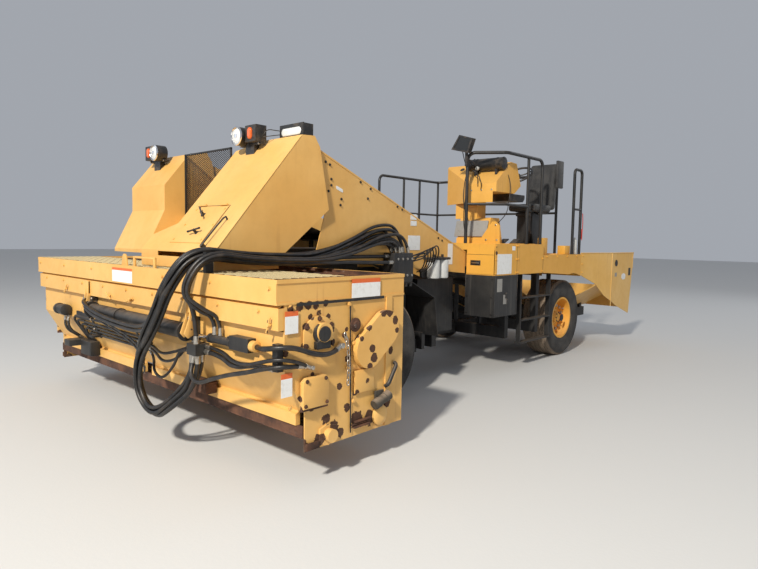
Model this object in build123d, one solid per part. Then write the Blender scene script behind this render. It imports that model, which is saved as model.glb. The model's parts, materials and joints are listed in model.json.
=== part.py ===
from build123d import *
import math
import os

# Self-propelled chip spreader, in millimetres.
# X points to the machine's left, Y to its rear, Z up from the ground.

# Spread hopper across the front
HOPPER_HALF = 2050
HOPPER_FRONT = -3900
HOPPER_BACK = -2723
HOPPER_TOP = 1355
BAND_BOTTOM = 1200
BELT_BAND_TOP = 1180
BELT_BAND_BOTTOM = 1044
BELT_BAND_Y = -3884
FACE_Y = -3836
KNEE_Z = 790
LIP_Y = -3670
LIP_TOP = 503
HOPPER_FLOOR = 242
SHEET = 8
PLATE = 10
THROAT_Y = -3395
THROAT_Z = 425
END_BACK = -2830
POST_Y0 = -2920
HUB_REACH = 60
GRATE_Z = 1330
GRATE_PITCH = 140
GRATE_BAR = 10

# Rotors in the spread hopper
ROLL_Y = -3478
ROLL_Z = 318
ROLL_R = 74
ROLL_RIB = 12
ROLL_RIBS = 10
SHAFT_R = 20
AUGER_Y = -3554
AUGER_Z = 1010
AUGER_R = 170
AUGER_SHAFT_R = 32
AUGER_PITCH = 260
RUN_GAP = 0.5
SEAT = 0.3

# Rear beam of the spread hopper
BEAM_Y0 = -2980
BEAM_Y1 = -2850
BEAM_Z0 = 260
BEAM_Z1 = 540

# Chassis rails and wheels
RAIL_X = 340
RAIL_WIDTH = 80
RAIL_OUT = RAIL_X + RAIL_WIDTH / 2
RAIL_Z0 = 400
RAIL_Z1 = 540
RAIL_END = 1960
ARM_X = 735
ARM_WIDTH = 40
ARM_START = 1250
ARM_END = 3530
WHEEL_R = 536
TYRE_WIDTH = 390
TYRE_OUT = 1180
RIM_R = 292
FRONT_AXLE_Y = -1980
REAR_AXLE_Y = 1856
AXLE_Z0 = 290
KINGPIN_X = 730
KINGPIN_R = 15
BOSS_R = 44
SPINDLE_R = 40
FIT = 0.06
STEER_ARM = 220
TIE_X = KINGPIN_X
TIE_Z = 365
TIE_R = 14
TIE_PIN_R = 12

# Conveyors, which spread apart towards the front
CONV_TOP_Y = -2772
CONV_TOP_Z = 2342
CONV_FALL = 0.345
CONV_FLARE = 0.09
CONV_OUT_X = 1117
CONV_HALF = 300
CONV_LENGTH = 5780
CONV_DEPTH = 150
BELT_HALF = 262
PULLEY_R = 55
BELT_THICK = 8
CONV_WALL = 6
CONV_TUBES = 7

# Discharge hoods
HOOD_OUT = 1160
HOOD_IN_LEFT = 320
HOOD_IN_RIGHT = 480
HOOD_WALL = 6

# Operator's deck
DECK_HALF = 1295
DECK_Y0 = -220
DECK_STEP_Y = 950
DECK_Y1 = 2100
DECK_TOP = 1576
ENTRY_TOP = 1440
DECK_LOW = 1210
DECK_IN = 905
DECK_WALL = 6
ENTRY_LOW = 1143
ARCH_R = 640
BOX_Y1 = 300
BOX_LOW = 725
RAIL_TUBE_R = 20

# Receiving hopper at the rear
RECEIVE_HALF = 1400
RECEIVE_BACK = 3900
RECEIVE_TOP = 1460
RECEIVE_FOLD = 3000
TUB_SLOPE = ((665, 555), (RECEIVE_HALF - 4, 1010))

parts = {}


def block(x0, x1, y0, y1, z0, z1):
    """A box between two corners."""
    centre = Pos((x0 + x1) / 2, (y0 + y1) / 2, (z0 + z1) / 2)
    return centre * Box(x1 - x0, y1 - y0, z1 - z0)


def slab_x(outline, x0, x1):
    """An outline of (y, z) points drawn out from x0 to x1."""
    return extrude(Plane.YZ.offset(x0) * Polygon(*outline, align=None), x1 - x0, dir=(1, 0, 0))


def slab_y(outline, y0, y1):
    """An outline of (x, z) points drawn out from y0 to y1."""
    plane = Plane(origin=(0, y1, 0), x_dir=(1, 0, 0), z_dir=(0, -1, 0))
    return extrude(plane * Polygon(*outline, align=None), y1 - y0, dir=(0, -1, 0))


def slab_z(outline, z0, z1):
    """An outline of (x, y) points drawn out from z0 to z1."""
    return extrude(Plane.XY.offset(z0) * Polygon(*outline, align=None), z1 - z0, dir=(0, 0, 1))


def rod_x(x0, x1, y, z, radius):
    return Pos((x0 + x1) / 2, y, z) * Rot(0, 90, 0) * Cylinder(radius, abs(x1 - x0))


def rod_y(y0, y1, x, z, radius):
    return Pos(x, (y0 + y1) / 2, z) * Rot(90, 0, 0) * Cylinder(radius, abs(y1 - y0))


def rod_z(z0, z1, x, y, radius):
    return Pos(x, y, (z0 + z1) / 2) * Cylinder(radius, abs(z1 - z0))


def straight_tube(start, end, radius):
    """A round bar from one point to another."""
    start, end = Vector(*start), Vector(*end)
    middle = Plane(origin=(start + end) * 0.5, z_dir=end - start)
    return middle.location * Cylinder(radius, (end - start).length)


def tube(points, radius, bend):
    """A round tube along straight runs joined by bends of one radius."""
    corners = [Vector(*point) for point in points]
    start = corners[0]
    pieces = []
    for corner, after in zip(corners[1:-1], corners[2:]):
        arriving, leaving = (corner - start).normalized(), (after - corner).normalized()
        turn = arriving.get_angle(leaving)
        setback = bend * math.tan(math.radians(turn / 2))
        bend_start, bend_end = corner - arriving * setback, corner + leaving * setback
        pieces.append(straight_tube(start, bend_start, radius))
        axis = arriving.cross(leaving).normalized()
        centre = bend_start + axis.cross(arriving) * bend
        section = Plane(origin=bend_start, z_dir=arriving) * Circle(radius)
        pieces.append(revolve(section, Axis(centre, axis), turn))
        start = bend_end
    pieces.append(straight_tube(start, corners[-1], radius))
    return pieces[0].fuse(*pieces[1:])


def inset(outline, walls):
    """The outline moved in by each edge's own wall; a negative wall moves it out."""
    count = len(outline)
    area = sum(outline[i][0] * outline[(i + 1) % count][1]
               - outline[(i + 1) % count][0] * outline[i][1] for i in range(count))
    turn = 1 if area > 0 else -1
    lines = []
    for i in range(count):
        (ay, az), (by, bz) = outline[i], outline[(i + 1) % count]
        length = math.hypot(by - ay, bz - az)
        dy, dz = (by - ay) / length, (bz - az) / length
        shift = walls[i] * turn
        lines.append((ay - dz * shift, az + dy * shift, dy, dz))
    moved = []
    for i in range(count):
        py, pz, py_dir, pz_dir = lines[i - 1]
        qy, qz, qy_dir, qz_dir = lines[i]
        cross = py_dir * qz_dir - pz_dir * qy_dir
        along = ((qy - py) * qz_dir - (qz - pz) * qy_dir) / cross
        moved.append((py + py_dir * along, pz + pz_dir * along))
    return moved


def shifted(outline, amount):
    """A thin strip outline: the points, and back along them moved in y."""
    return list(outline) + [(y + amount, z) for y, z in reversed(outline)]


def mirrored(shape):
    return mirror(shape, about=Plane.YZ)


def conveyor_place(side):
    """Where a conveyor's own frame lies: its Y runs from head to tail."""
    flare = math.degrees(math.atan(CONV_FLARE))
    fall = math.degrees(math.atan(CONV_FALL))
    centre_x = CONV_OUT_X - CONV_HALF
    return Pos(side * centre_x, CONV_TOP_Y, CONV_TOP_Z) * Rot(0, 0, side * flare) * Rot(-fall, 0, 0)


def panel_place(side):
    """The outer face of a conveyor: Y runs rearwards along it, Z stays upright."""
    flare = math.degrees(math.atan(CONV_FLARE))
    x = CONV_OUT_X - CONV_HALF + (CONV_HALF + SEAT) * math.hypot(1, CONV_FLARE)
    return Pos(side * x, CONV_TOP_Y, 0) * Rot(0, 0, side * flare)


# Spread hopper shell
front_face = [
    (HOPPER_FRONT, HOPPER_TOP),
    (HOPPER_FRONT, BAND_BOTTOM),
    (BELT_BAND_Y + 26, BAND_BOTTOM - 8),
    (BELT_BAND_Y, BELT_BAND_TOP),
    (BELT_BAND_Y, BELT_BAND_BOTTOM),
    (FACE_Y, BELT_BAND_BOTTOM - 12),
    (FACE_Y, KNEE_Z),
    (LIP_Y, LIP_TOP),
]
inner_half = HOPPER_HALF - PLATE
parts["hopper_front_wall"] = slab_x(shifted(front_face, SHEET), -inner_half, inner_half)

back_face = [
    (HOPPER_BACK - SHEET, HOPPER_TOP),
    (HOPPER_BACK - SHEET, BAND_BOTTOM),
    (END_BACK - 30, BAND_BOTTOM - 60),
    (THROAT_Y, THROAT_Z),
]
parts["hopper_back_wall"] = slab_x(shifted(back_face, SHEET), -inner_half, inner_half)

end_outline = [
    (FACE_Y, BAND_BOTTOM),
    (FACE_Y, KNEE_Z),
    (LIP_Y, LIP_TOP),
    (LIP_Y, HOPPER_FLOOR),
    (END_BACK, HOPPER_FLOOR + 8),
    (END_BACK, BAND_BOTTOM),
]


def hopper_end():
    """The left end: plate, rim band, back post, and the holes for both shafts."""
    end = slab_x(end_outline, inner_half, HOPPER_HALF)
    end += block(inner_half, HOPPER_HALF, HOPPER_FRONT, HOPPER_BACK, BAND_BOTTOM, HOPPER_TOP)
    end += block(inner_half, HOPPER_HALF, BELT_BAND_Y, FACE_Y, BELT_BAND_BOTTOM, BELT_BAND_TOP)
    end += block(inner_half, HOPPER_HALF, POST_Y0, HOPPER_BACK, HOPPER_FLOOR + 8, BAND_BOTTOM)
    end += block(HOPPER_HALF, HOPPER_HALF + 6, HOPPER_FRONT, HOPPER_BACK, HOPPER_TOP - 24, HOPPER_TOP)
    end += block(HOPPER_HALF, HOPPER_HALF + 6, HOPPER_FRONT, HOPPER_BACK, BAND_BOTTOM, BAND_BOTTOM + 14)
    end += block(HOPPER_HALF, HOPPER_HALF + 10, POST_Y0, POST_Y0 + 60, HOPPER_FLOOR + 8, BAND_BOTTOM)
    end -= rod_x(inner_half - 1, HOPPER_HALF + 1, ROLL_Y, ROLL_Z, SHAFT_R + RUN_GAP)
    end -= rod_x(inner_half - 1, HOPPER_HALF + 1, AUGER_Y, AUGER_Z, AUGER_SHAFT_R + RUN_GAP)
    return end


def end_bearing(y, z, radius, shaft_radius):
    """A flanged bearing on the outside of the left end plate."""
    flange = slab_x([(y - radius, z + radius * 0.7), (y, z + radius), (y + radius, z + radius * 0.7),
                     (y + radius, z - radius * 0.7), (y, z - radius), (y - radius, z - radius * 0.7)],
                    HOPPER_HALF, HOPPER_HALF + 14)
    cap = rod_x(HOPPER_HALF, HOPPER_HALF + HUB_REACH, y, z, radius * 0.62)
    hole = rod_x(HOPPER_HALF - 1, HOPPER_HALF + HUB_REACH - 12, y, z, shaft_radius + RUN_GAP)
    return flange + cap - hole


left_bearings = [end_bearing(AUGER_Y, AUGER_Z, 100, AUGER_SHAFT_R), end_bearing(ROLL_Y, ROLL_Z, 72, SHAFT_R)]
parts["end_bearings"] = Compound(left_bearings + [mirrored(one) for one in left_bearings])


def chain_guard():
    """The slanting obround cover of the chain drive on the left end."""
    top, low, radius = (-2959, 976), (-3128, 844), 130
    run_y, run_z = top[0] - low[0], top[1] - low[1]
    length = math.hypot(run_y, run_z)
    side_y, side_z = -run_z / length * radius, run_y / length * radius
    body = slab_x([(top[0] + side_y, top[1] + side_z), (low[0] + side_y, low[1] + side_z),
                   (low[0] - side_y, low[1] - side_z), (top[0] - side_y, top[1] - side_z)],
                  HOPPER_HALF + 10, HOPPER_HALF + HUB_REACH - 8)
    for y, z in (top, low):
        body += rod_x(HOPPER_HALF + 10, HOPPER_HALF + HUB_REACH - 8, y, z, radius)
    return body + rod_x(HOPPER_HALF, HOPPER_HALF + 20, low[0], low[1], 40)


parts["hopper_ends"] = Compound([hopper_end() + chain_guard(), mirrored(hopper_end())])


def grate():
    """Flat bars across the mouth of the spread hopper, both ways."""
    x_end = inner_half
    y0, y1 = HOPPER_FRONT + SHEET, HOPPER_BACK - SHEET
    bars = [block(-x_end, x_end, y0, y0 + 20, GRATE_Z, HOPPER_TOP - 2),
            block(-x_end, x_end, y1 - 20, y1, GRATE_Z, HOPPER_TOP - 2)]
    across = int((y1 - y0 - 40) / GRATE_PITCH)
    for i in range(1, across + 1):
        y = y0 + i * (y1 - y0) / (across + 1)
        bars.append(block(-x_end, x_end, y - 4, y + 4, GRATE_Z, GRATE_Z + GRATE_BAR))
    along = int(2 * x_end / (2 * GRATE_PITCH))
    for i in range(along + 1):
        x = -x_end + 4 + i * (2 * x_end - 8) / along
        bars.append(block(x - 4, x + 4, y0, y1, GRATE_Z - GRATE_BAR, GRATE_Z - SEAT))
    return Compound(bars)


parts["hopper_grate"] = grate()

# Gate lip: a folded bar each side of the middle, with the wear strip under it
LIP_GAP = [(-1960, -90), (60, 1990)]
lip_bars = []
for x0, x1 in LIP_GAP:
    lip_bars.append(slab_x([(LIP_Y, LIP_TOP), (LIP_Y + 10, LIP_TOP), (LIP_Y + 10, 410), (LIP_Y - 26, 410),
                            (LIP_Y - 26, 485), (LIP_Y, 490)], x0, x1))
parts["gate_lip"] = Compound(lip_bars)
parts["wear_strip"] = block(-inner_half, inner_half, LIP_Y - 12, LIP_Y + 2, 330, 410)


# What hangs on the hopper's front: torque tube, cylinder, hose block, hard lines and brackets
TUBE_R = 58
TUBE_Y = FACE_Y - SEAT - TUBE_R
TUBE_Z = 922
LINE_R = 11
LINE_Z = (975, 1005)
# Brackets: inner x, outer x, low z
FRONT_BRACKETS = [(-860, -680, 1000), (1005, 1090, 860)]
# T-handle stems on the second band
STEMS_X = [share * HOPPER_HALF for share in (-0.626, -0.148, 0.051, 0.965)]


def face_point(z, off):
    """A point off the hopper's front face, which slopes back below the knee."""
    if z > KNEE_Z:
        return FACE_Y - off, z
    y0, z0, y1, z1 = FACE_Y, KNEE_Z, LIP_Y, LIP_TOP
    length = math.hypot(y1 - y0, z1 - z0)
    y = y0 + (KNEE_Z - z) * (y1 - y0) / (z0 - z1)
    return y - off * (z0 - z1) / length, z - off * (y1 - y0) / length


HOSE_POST = 145


def gate_lines():
    """Torque tube, gate cylinder, port blocks and hard lines across the hopper's low face."""
    forms = [rod_x(-640, 1000, TUBE_Y, TUBE_Z, TUBE_R)]
    forms.append(rod_x(1270, 1550 - SEAT, FACE_Y - 32, 905, 28))
    forms.append(block(1550, 1760, FACE_Y - 64, FACE_Y - SEAT, 870, 960))
    forms.append(block(1090 + SEAT, 1210, FACE_Y - 110, FACE_Y - SEAT, 775, 855))
    for i in range(5):
        y, z = face_point(810 - i * 38, LINE_R + SEAT)
        forms.append(rod_x(-1000, 300, y, z, LINE_R))
    for x0, x1, z in FRONT_BRACKETS:
        forms.append(block(x0, x1, FACE_Y - 46, FACE_Y - SEAT, z, BELT_BAND_BOTTOM - 14))
    forms.append(slab_x([face_point(860, SEAT), face_point(792, SEAT), face_point(792, 14), face_point(860, 14)],
                        -1170, -870))
    for x in STEMS_X:
        forms.append(rod_y(BELT_BAND_Y - 16, BELT_BAND_Y - SEAT, x, 1075, 7))
    forms.append(block(1236, 1272, HOPPER_FRONT, HOPPER_FRONT + 60, HOPPER_TOP + SEAT, HOPPER_TOP + HOSE_POST))
    forms.append(block(HOPPER_HALF - 60, HOPPER_HALF - 10, FACE_Y - 46, FACE_Y - SEAT, 790, 960))
    return Compound(forms)


parts["gate_lines"] = gate_lines()


def beam_and_ribs():
    """The square beam behind the hopper, with ribs up to its sloping back wall."""
    beam = block(-inner_half, inner_half, BEAM_Y0, BEAM_Y1, BEAM_Z0, BEAM_Z1)
    beam -= block(-inner_half - 1, inner_half + 1, BEAM_Y0 + 8, BEAM_Y1 - 8, BEAM_Z0 + 8, BEAM_Z1 - 8)
    (y_high, z_high), (y_low, z_low) = back_face[2], back_face[3]

    def wall_y(z):
        return y_low + SHEET + (z - z_low) * (y_high - y_low) / (z_high - z_low)

    rib = [(wall_y(BEAM_Z1 - 60), BEAM_Z1 - 60), (wall_y(1060), 1060), (BEAM_Y1, 1060),
           (BEAM_Y1, BEAM_Z1), (BEAM_Y0, BEAM_Z1), (BEAM_Y0, BEAM_Z1 - 60)]
    for share in (-0.94, -0.64, -0.32, -0.17, 0.17, 0.32, 0.64, 0.94):
        beam += slab_x(rib, share * inner_half - 5, share * inner_half + 5)
    return beam


parts["hopper_beam"] = beam_and_ribs()


def spread_roll():
    """The ribbed roll that throws the chips."""
    roll = rod_x(-inner_half + 12, inner_half - 12, ROLL_Y, ROLL_Z, ROLL_R)
    for i in range(ROLL_RIBS):
        angle = 2 * math.pi * i / ROLL_RIBS
        place = Pos(0, ROLL_Y, ROLL_Z) * Rot(math.degrees(angle), 0, 0) * Pos(0, 0, ROLL_R)
        roll += place * Box(2 * (inner_half - 12), ROLL_RIB, ROLL_RIB)
    reach = HOPPER_HALF + HUB_REACH - 13
    return roll + rod_x(-reach, reach, ROLL_Y, ROLL_Z, SHAFT_R)


parts["spread_roll"] = spread_roll()


def auger():
    """The cross auger: a shaft with slanting flights, handed each side of the middle."""
    reach = HOPPER_HALF + HUB_REACH - 13
    shape = rod_x(-reach, reach, AUGER_Y, AUGER_Z, AUGER_SHAFT_R)
    count = int((inner_half - 200) / AUGER_PITCH)
    flights = []
    for side in (-1, 1):
        for i in range(count):
            x = side * (160 + i * AUGER_PITCH)
            plate = extrude(RegularPolygon(AUGER_R, 16), 3.5, both=True)
            flights.append(Pos(x, AUGER_Y, AUGER_Z) * Rot(0, 90 + side * 24, 0) * plate)
    return shape.fuse(*flights)


parts["cross_auger"] = auger()

# Discharge hoods over the spread hopper; each edge of an outline has a wall or is open
left_hood = [
    (-3754, 1506), (-2964, 2431), (-2830, 2439), (-2772, 2354), (-2666, 1847), (-3191, 1438),
]
left_hood_walls = [HOOD_WALL, HOOD_WALL, HOOD_WALL, -60, HOOD_WALL, -60]
hood_box = [(-3766, 1362), (-3766, 1492), (-3520, 1780), (-3191, 1438), (-3191, 1362)]
FLARE_X = 45


def hood_flange():
    """Strip inside a hood's outer side that bolts to the side panel's front edge."""
    strip = [(y - CONV_TOP_Y, z) for y, z in ((-2800, 2330), (-2772, 2330), (-2672, 1860), (-2700, 1860))]
    flange = panel_place(1) * slab_x(strip, DECK_WALL + SEAT, 60)
    return flange & block(CONV_OUT_X, HOOD_OUT - HOOD_WALL, -2900, -2600, 1800, 2400)


def under_roof(inward):
    """Everything under the left hood's roof, which falls to its inner side, less a wall."""
    return slab_y([(-100, 1200), (1300, 1200), (1300, 2500 - inward), (665, 2440 - inward),
                   (HOOD_IN_LEFT, 2365 - inward), (HOOD_IN_LEFT, 1712 - inward), (FLARE_X + inward, 1616 - inward),
                   (-100, 1572 - inward)], -3900, -2500)


def hood_left():
    low_end = HOOD_OUT - 2
    hood = slab_x(left_hood, HOOD_IN_LEFT, HOOD_OUT) + slab_x(hood_box, FLARE_X, low_end)
    hood = hood & under_roof(0)
    hollow = slab_x(inset(left_hood, left_hood_walls), HOOD_IN_LEFT + HOOD_WALL, HOOD_OUT - HOOD_WALL)
    box_hollow = [(-3766 + HOOD_WALL, 1300), (-3766 + HOOD_WALL, 1489), (-3528, 1768), (-3191 - HOOD_WALL, 1432),
                  (-3191 - HOOD_WALL, 1300)]
    hollow += slab_x(box_hollow, FLARE_X + HOOD_WALL, low_end - HOOD_WALL)
    return hood - (hollow & under_roof(HOOD_WALL)) + hood_flange()


parts["hood_left"] = hood_left()

right_hood = [
    (-3472, 1440), (-3472, 1472), (-3283, 1850), (-3283, 2088), (-3022, 2406), (-2830, 2439),
    (-2772, 2354), (-2666, 1847), (-3150, 1440),
]
right_hood_walls = [HOOD_WALL] * 5 + [HOOD_WALL, -60, HOOD_WALL, -60]


def hood_right():
    hood = slab_x(right_hood, -HOOD_OUT, -HOOD_IN_RIGHT)
    return hood - slab_x(inset(right_hood, right_hood_walls), -HOOD_OUT + HOOD_WALL, -HOOD_IN_RIGHT - HOOD_WALL)


# Hatch door on the sloping front of the left hood
HATCH = (440, 900, 0.05, 0.36)


def slope_point(share):
    (y0, z0), (y1, z1) = left_hood[0], left_hood[1]
    return (y0 + (y1 - y0) * share, z0 + (z1 - z0) * share)


def hatch_door():
    x0, x1, low, high = HATCH
    (y0, z0), (y1, z1) = slope_point(low), slope_point(high)
    length = math.hypot(y1 - y0, z1 - z0)
    out_y, out_z = -(z1 - z0) / length, (y1 - y0) / length
    near, far = SEAT, SEAT + HOOD_WALL
    strip = [(y0 + out_y * near, z0 + out_z * near), (y1 + out_y * near, z1 + out_z * near),
             (y1 + out_y * far, z1 + out_z * far), (y0 + out_y * far, z0 + out_z * far)]
    return slab_x(strip, x0, x1)


parts["hood_hatch"] = hatch_door()

# Apron and mesh guard between the hoods, in front of the radiator
GUARD_Y = -3060
apron = [(-3480, 1400), (GUARD_Y - 12, 1790), (GUARD_Y - 12, 1800), (-3490, 1406)]
right_apron = slab_x(apron, -HOOD_IN_RIGHT, HOOD_IN_LEFT - SEAT) - slab_x(hood_box, FLARE_X - SEAT, HOOD_OUT)
parts["hood_right"] = hood_right() + right_apron + mirrored(hood_flange())


def mesh_guard():
    x0, x1, z0, z1 = -HOOD_IN_RIGHT, HOOD_IN_LEFT, 1800, 2395
    frame = block(x0, x1, GUARD_Y - 12, GUARD_Y, z0, z1)
    frame -= block(x0 + 14, x1 - 14, GUARD_Y - 13, GUARD_Y + 1, z0 + 14, z1 - 14)
    window = block(x0, x1, GUARD_Y - 8, GUARD_Y - 4, z0, z1)
    wires = []
    step = 110
    span = (x1 - x0) + (z1 - z0)
    count = int(span / step)
    middle_x, middle_z = (x0 + x1) / 2, (z0 + z1) / 2
    for i in range(count + 1):
        offset = (i - count / 2) * step
        for lean in (-1, 1):
            bar = Pos(middle_x + offset, GUARD_Y - 6, middle_z) * Rot(0, lean * 40, 0) * Box(8, 4, 1600)
            wires.append(bar & window)
    return frame.fuse(*wires)


parts["mesh_guard"] = mesh_guard()
RADIATOR_Y = -2690
parts["radiator"] = (block(-440, 300, RADIATOR_Y, RADIATOR_Y + 90, 900, 2250)
                     + block(-340, 300, RADIATOR_Y + 90, RADIATOR_Y + 160, 1000, 2150)
                     + block(-RAIL_X, -RAIL_X + 60, RADIATOR_Y, RADIATOR_Y + 90, RAIL_Z1, 900)
                     + block(220, 300, RADIATOR_Y, RADIATOR_Y + 90, RAIL_Z1, 900))
parts["engine"] = (block(-300, 300, RADIATOR_Y + 190, -1440, 640, 1500)
                   + block(-RAIL_X, RAIL_X, -2400, -2320, RAIL_Z1, 700)
                   + block(-RAIL_X, RAIL_X, -1800, -1720, RAIL_Z1, 700))


# Chassis: two rails, cross members, side arms that carry the receiving hopper, deck posts.
# Each member seats on its neighbour with a small gap, as bolted members do.
MEMBER = 80
# Cross members: station and half width
CROSS_MEMBERS = [(-2400, RAIL_OUT), (-1240, 930), (-420, RAIL_OUT), (340, 1120), (1120, 1120),
                 (ARM_START, ARM_X)]
# Conveyor supports: station, inner post x, outer post x
CONV_POSTS = [(-1200, 440, 760), (380, 360, 720), (1290, 340, 640)]
BOLSTER = 60
POST = 40
DECK_POST_X = 1080


def tub_slope_z(x):
    """Underside of the receiving hopper's sloping floor, less a seating gap."""
    (x0, z0), (x1, z1) = TUB_SLOPE
    return z0 + (x - x0) * (z1 - z0) / (x1 - x0) - SEAT


def bolster_centre(y):
    """Length along a conveyor, and height, of a bolster under it at a station."""
    fall = math.atan(CONV_FALL)
    depth = CONV_DEPTH + SEAT + BOLSTER / 2
    along = ((y - CONV_TOP_Y) * math.hypot(1, CONV_FLARE) + depth * math.sin(fall)) / math.cos(fall)
    return along, depth


def conveyor_supports(side):
    members = []
    for y, inner_x, outer_x in CONV_POSTS:
        along, depth = bolster_centre(y)
        members.append(conveyor_place(side) * Pos(0, along, -depth) * Box(2 * CONV_HALF - 10, BOLSTER, BOLSTER))
        reach = 2 * RAIL_END
        below = Pos(0, along, -depth - BOLSTER / 2 - SEAT - reach / 2) * Box(reach, reach, reach)
        below = conveyor_place(side) * below
        for x in (inner_x, outer_x):
            half = POST / 2
            post = block(side * x - half, side * x + half, y - half, y + half, RAIL_Z1 + SEAT, CONV_TOP_Z)
            members.append(post & below)
    return members


def chassis():
    members = []
    for side in (-1, 1):
        inner, outer = sorted((side * (RAIL_X - RAIL_WIDTH / 2), side * RAIL_OUT))
        members.append(block(inner, outer, BEAM_Y1, RAIL_END, RAIL_Z0, RAIL_Z1))
        arm = side * ARM_X
        members.append(block(arm - ARM_WIDTH / 2, arm + ARM_WIDTH / 2, ARM_START, ARM_END, RAIL_Z0, RAIL_Z1))
        for y, half in CROSS_MEMBERS:
            reach = half - ARM_WIDTH / 2 - SEAT if y == ARM_START else half
            if reach > RAIL_OUT:
                near, far = sorted((side * (RAIL_OUT + SEAT), side * reach))
                members.append(block(near, far, y, y + MEMBER, RAIL_Z0, RAIL_Z1))
        for y in (2740, 3360):
            members.append(slab_y([(side * 715, RAIL_Z1 + SEAT), (side * 715, tub_slope_z(715)),
                                   (side * 755, tub_slope_z(755)), (side * 755, RAIL_Z1 + SEAT)], y, y + 70))
        for y in (340, 1120):
            members.append(block(side * DECK_POST_X - POST, side * DECK_POST_X + POST, y, y + MEMBER,
                                 RAIL_Z1 + SEAT, DECK_LOW))
        members += conveyor_supports(side)
    between = RAIL_X - RAIL_WIDTH / 2 - SEAT
    for y, half in CROSS_MEMBERS:
        members.append(block(-between, between, y, y + MEMBER, RAIL_Z0, RAIL_Z1))
    rear = ARM_X - ARM_WIDTH / 2 - SEAT
    members.append(block(-rear, rear, ARM_END - MEMBER, ARM_END, RAIL_Z0, RAIL_Z1))
    return Compound(members)


parts["chassis_frame"] = chassis()


def front_axle():
    y0, y1 = FRONT_AXLE_Y - 50, FRONT_AXLE_Y + 50
    axle = block(-648, 648, y0, y1, AXLE_Z0, RAIL_Z0)
    for side in (-1, 1):
        inner, outer = sorted((side * 616, side * 648))
        axle += block(inner, outer, y0, y1, AXLE_Z0, 680)
        for z0, z1 in ((400, 432), (644, 680)):
            ear_in, ear_out = sorted((side * 616, side * KINGPIN_X))
            axle += block(ear_in, ear_out, y0 + 4, y1 - 4, z0, z1)
            axle += rod_z(z0, z1, side * KINGPIN_X, FRONT_AXLE_Y, 46)
        axle -= rod_z(390, 690, side * KINGPIN_X, FRONT_AXLE_Y, KINGPIN_R + FIT)
    return axle


parts["front_axle"] = front_axle()


def knuckle(side):
    boss = rod_z(434, 642, side * KINGPIN_X, FRONT_AXLE_Y, BOSS_R)
    boss += rod_z(400, 680, side * KINGPIN_X, FRONT_AXLE_Y, KINGPIN_R)
    boss += rod_x(side * KINGPIN_X, side * 1010, FRONT_AXLE_Y, WHEEL_R, SPINDLE_R)
    arm_in, arm_out = sorted((side * (TIE_X - 22), side * (TIE_X + 22)))
    boss += block(arm_in, arm_out, FRONT_AXLE_Y, FRONT_AXLE_Y + STEER_ARM + 22, 445, 472)
    return boss + rod_z(335, 450, side * TIE_X, FRONT_AXLE_Y + STEER_ARM, TIE_PIN_R)


parts["knuckle_left"] = knuckle(1)
parts["knuckle_right"] = knuckle(-1)


def tie_rod():
    y = FRONT_AXLE_Y + STEER_ARM
    rod = rod_x(-TIE_X, TIE_X, y, TIE_Z, TIE_R)
    for side in (-1, 1):
        rod += rod_z(TIE_Z - 20, TIE_Z + 20, side * TIE_X, y, 30)
    rod -= rod_z(TIE_Z - 30, TIE_Z + 30, TIE_X, y, TIE_PIN_R + FIT)
    return rod - rod_z(TIE_Z - 30, TIE_Z + 30, -TIE_X, y, TIE_PIN_R + RUN_GAP)


parts["tie_rod"] = tie_rod()


def rear_axle():
    axle = block(-800, 800, REAR_AXLE_Y - 50, REAR_AXLE_Y + 50, AXLE_Z0, RAIL_Z0)
    for side in (-1, 1):
        inner, outer = sorted((side * 757, side * 800))
        axle += block(inner, outer, REAR_AXLE_Y - 80, REAR_AXLE_Y + 80, AXLE_Z0, 620)
        axle += rod_x(side * 780, side * 1010, REAR_AXLE_Y, WHEEL_R, SPINDLE_R)
    return axle


parts["rear_axle"] = rear_axle()


def wheel_profile(points):
    """A (radius, x) outline turned about the wheel's own X axis."""
    face = Plane.XY * Polygon(*[(x, radius) for radius, x in points], align=None)
    return revolve(face, Axis.X)


def tyre():
    half = TYRE_WIDTH / 2
    outline = [(RIM_R + 1, -half + 40), (RIM_R + 70, -half), (WHEEL_R - 80, -half), (WHEEL_R - 30, -half + 14),
               (WHEEL_R, -half + 60), (WHEEL_R, half - 60), (WHEEL_R - 30, half - 14), (WHEEL_R - 80, half),
               (RIM_R + 70, half), (RIM_R + 1, half - 40)]
    return wheel_profile(outline)


def rim():
    """Rim with its dished disc and hub, open towards the machine's middle."""
    half = TYRE_WIDTH / 2
    barrel = [(RIM_R, -half + 30), (RIM_R, half - 30), (RIM_R - 24, half - 30), (RIM_R - 24, -half + 30)]
    disc = [(SPINDLE_R + FIT, 20), (SPINDLE_R + FIT, 60), (110, 60), (140, 20), (RIM_R - 20, 0),
            (RIM_R - 20, -14), (130, 4), (100, 20)]
    hub = [(SPINDLE_R + FIT, -150), (SPINDLE_R + FIT, 40), (90, 40), (90, -60), (70, -150)]
    cap = [(0, 30), (0, 110), (60, 110), (82, 84), (82, 30)]
    return wheel_profile(barrel) + wheel_profile(disc) + wheel_profile(hub) + wheel_profile(cap)


WHEELS = [("front_left", 1, FRONT_AXLE_Y), ("front_right", -1, FRONT_AXLE_Y),
          ("rear_left", 1, REAR_AXLE_Y), ("rear_right", -1, REAR_AXLE_Y)]
for name, side, wheel_y in WHEELS:
    centre = Pos(side * (TYRE_OUT - TYRE_WIDTH / 2), wheel_y, WHEEL_R)
    turn = Rot(0, 0, 0 if side > 0 else 180)
    parts["tyre_" + name] = centre * turn * tyre()
    parts["rim_" + name] = centre * turn * rim()


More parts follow.
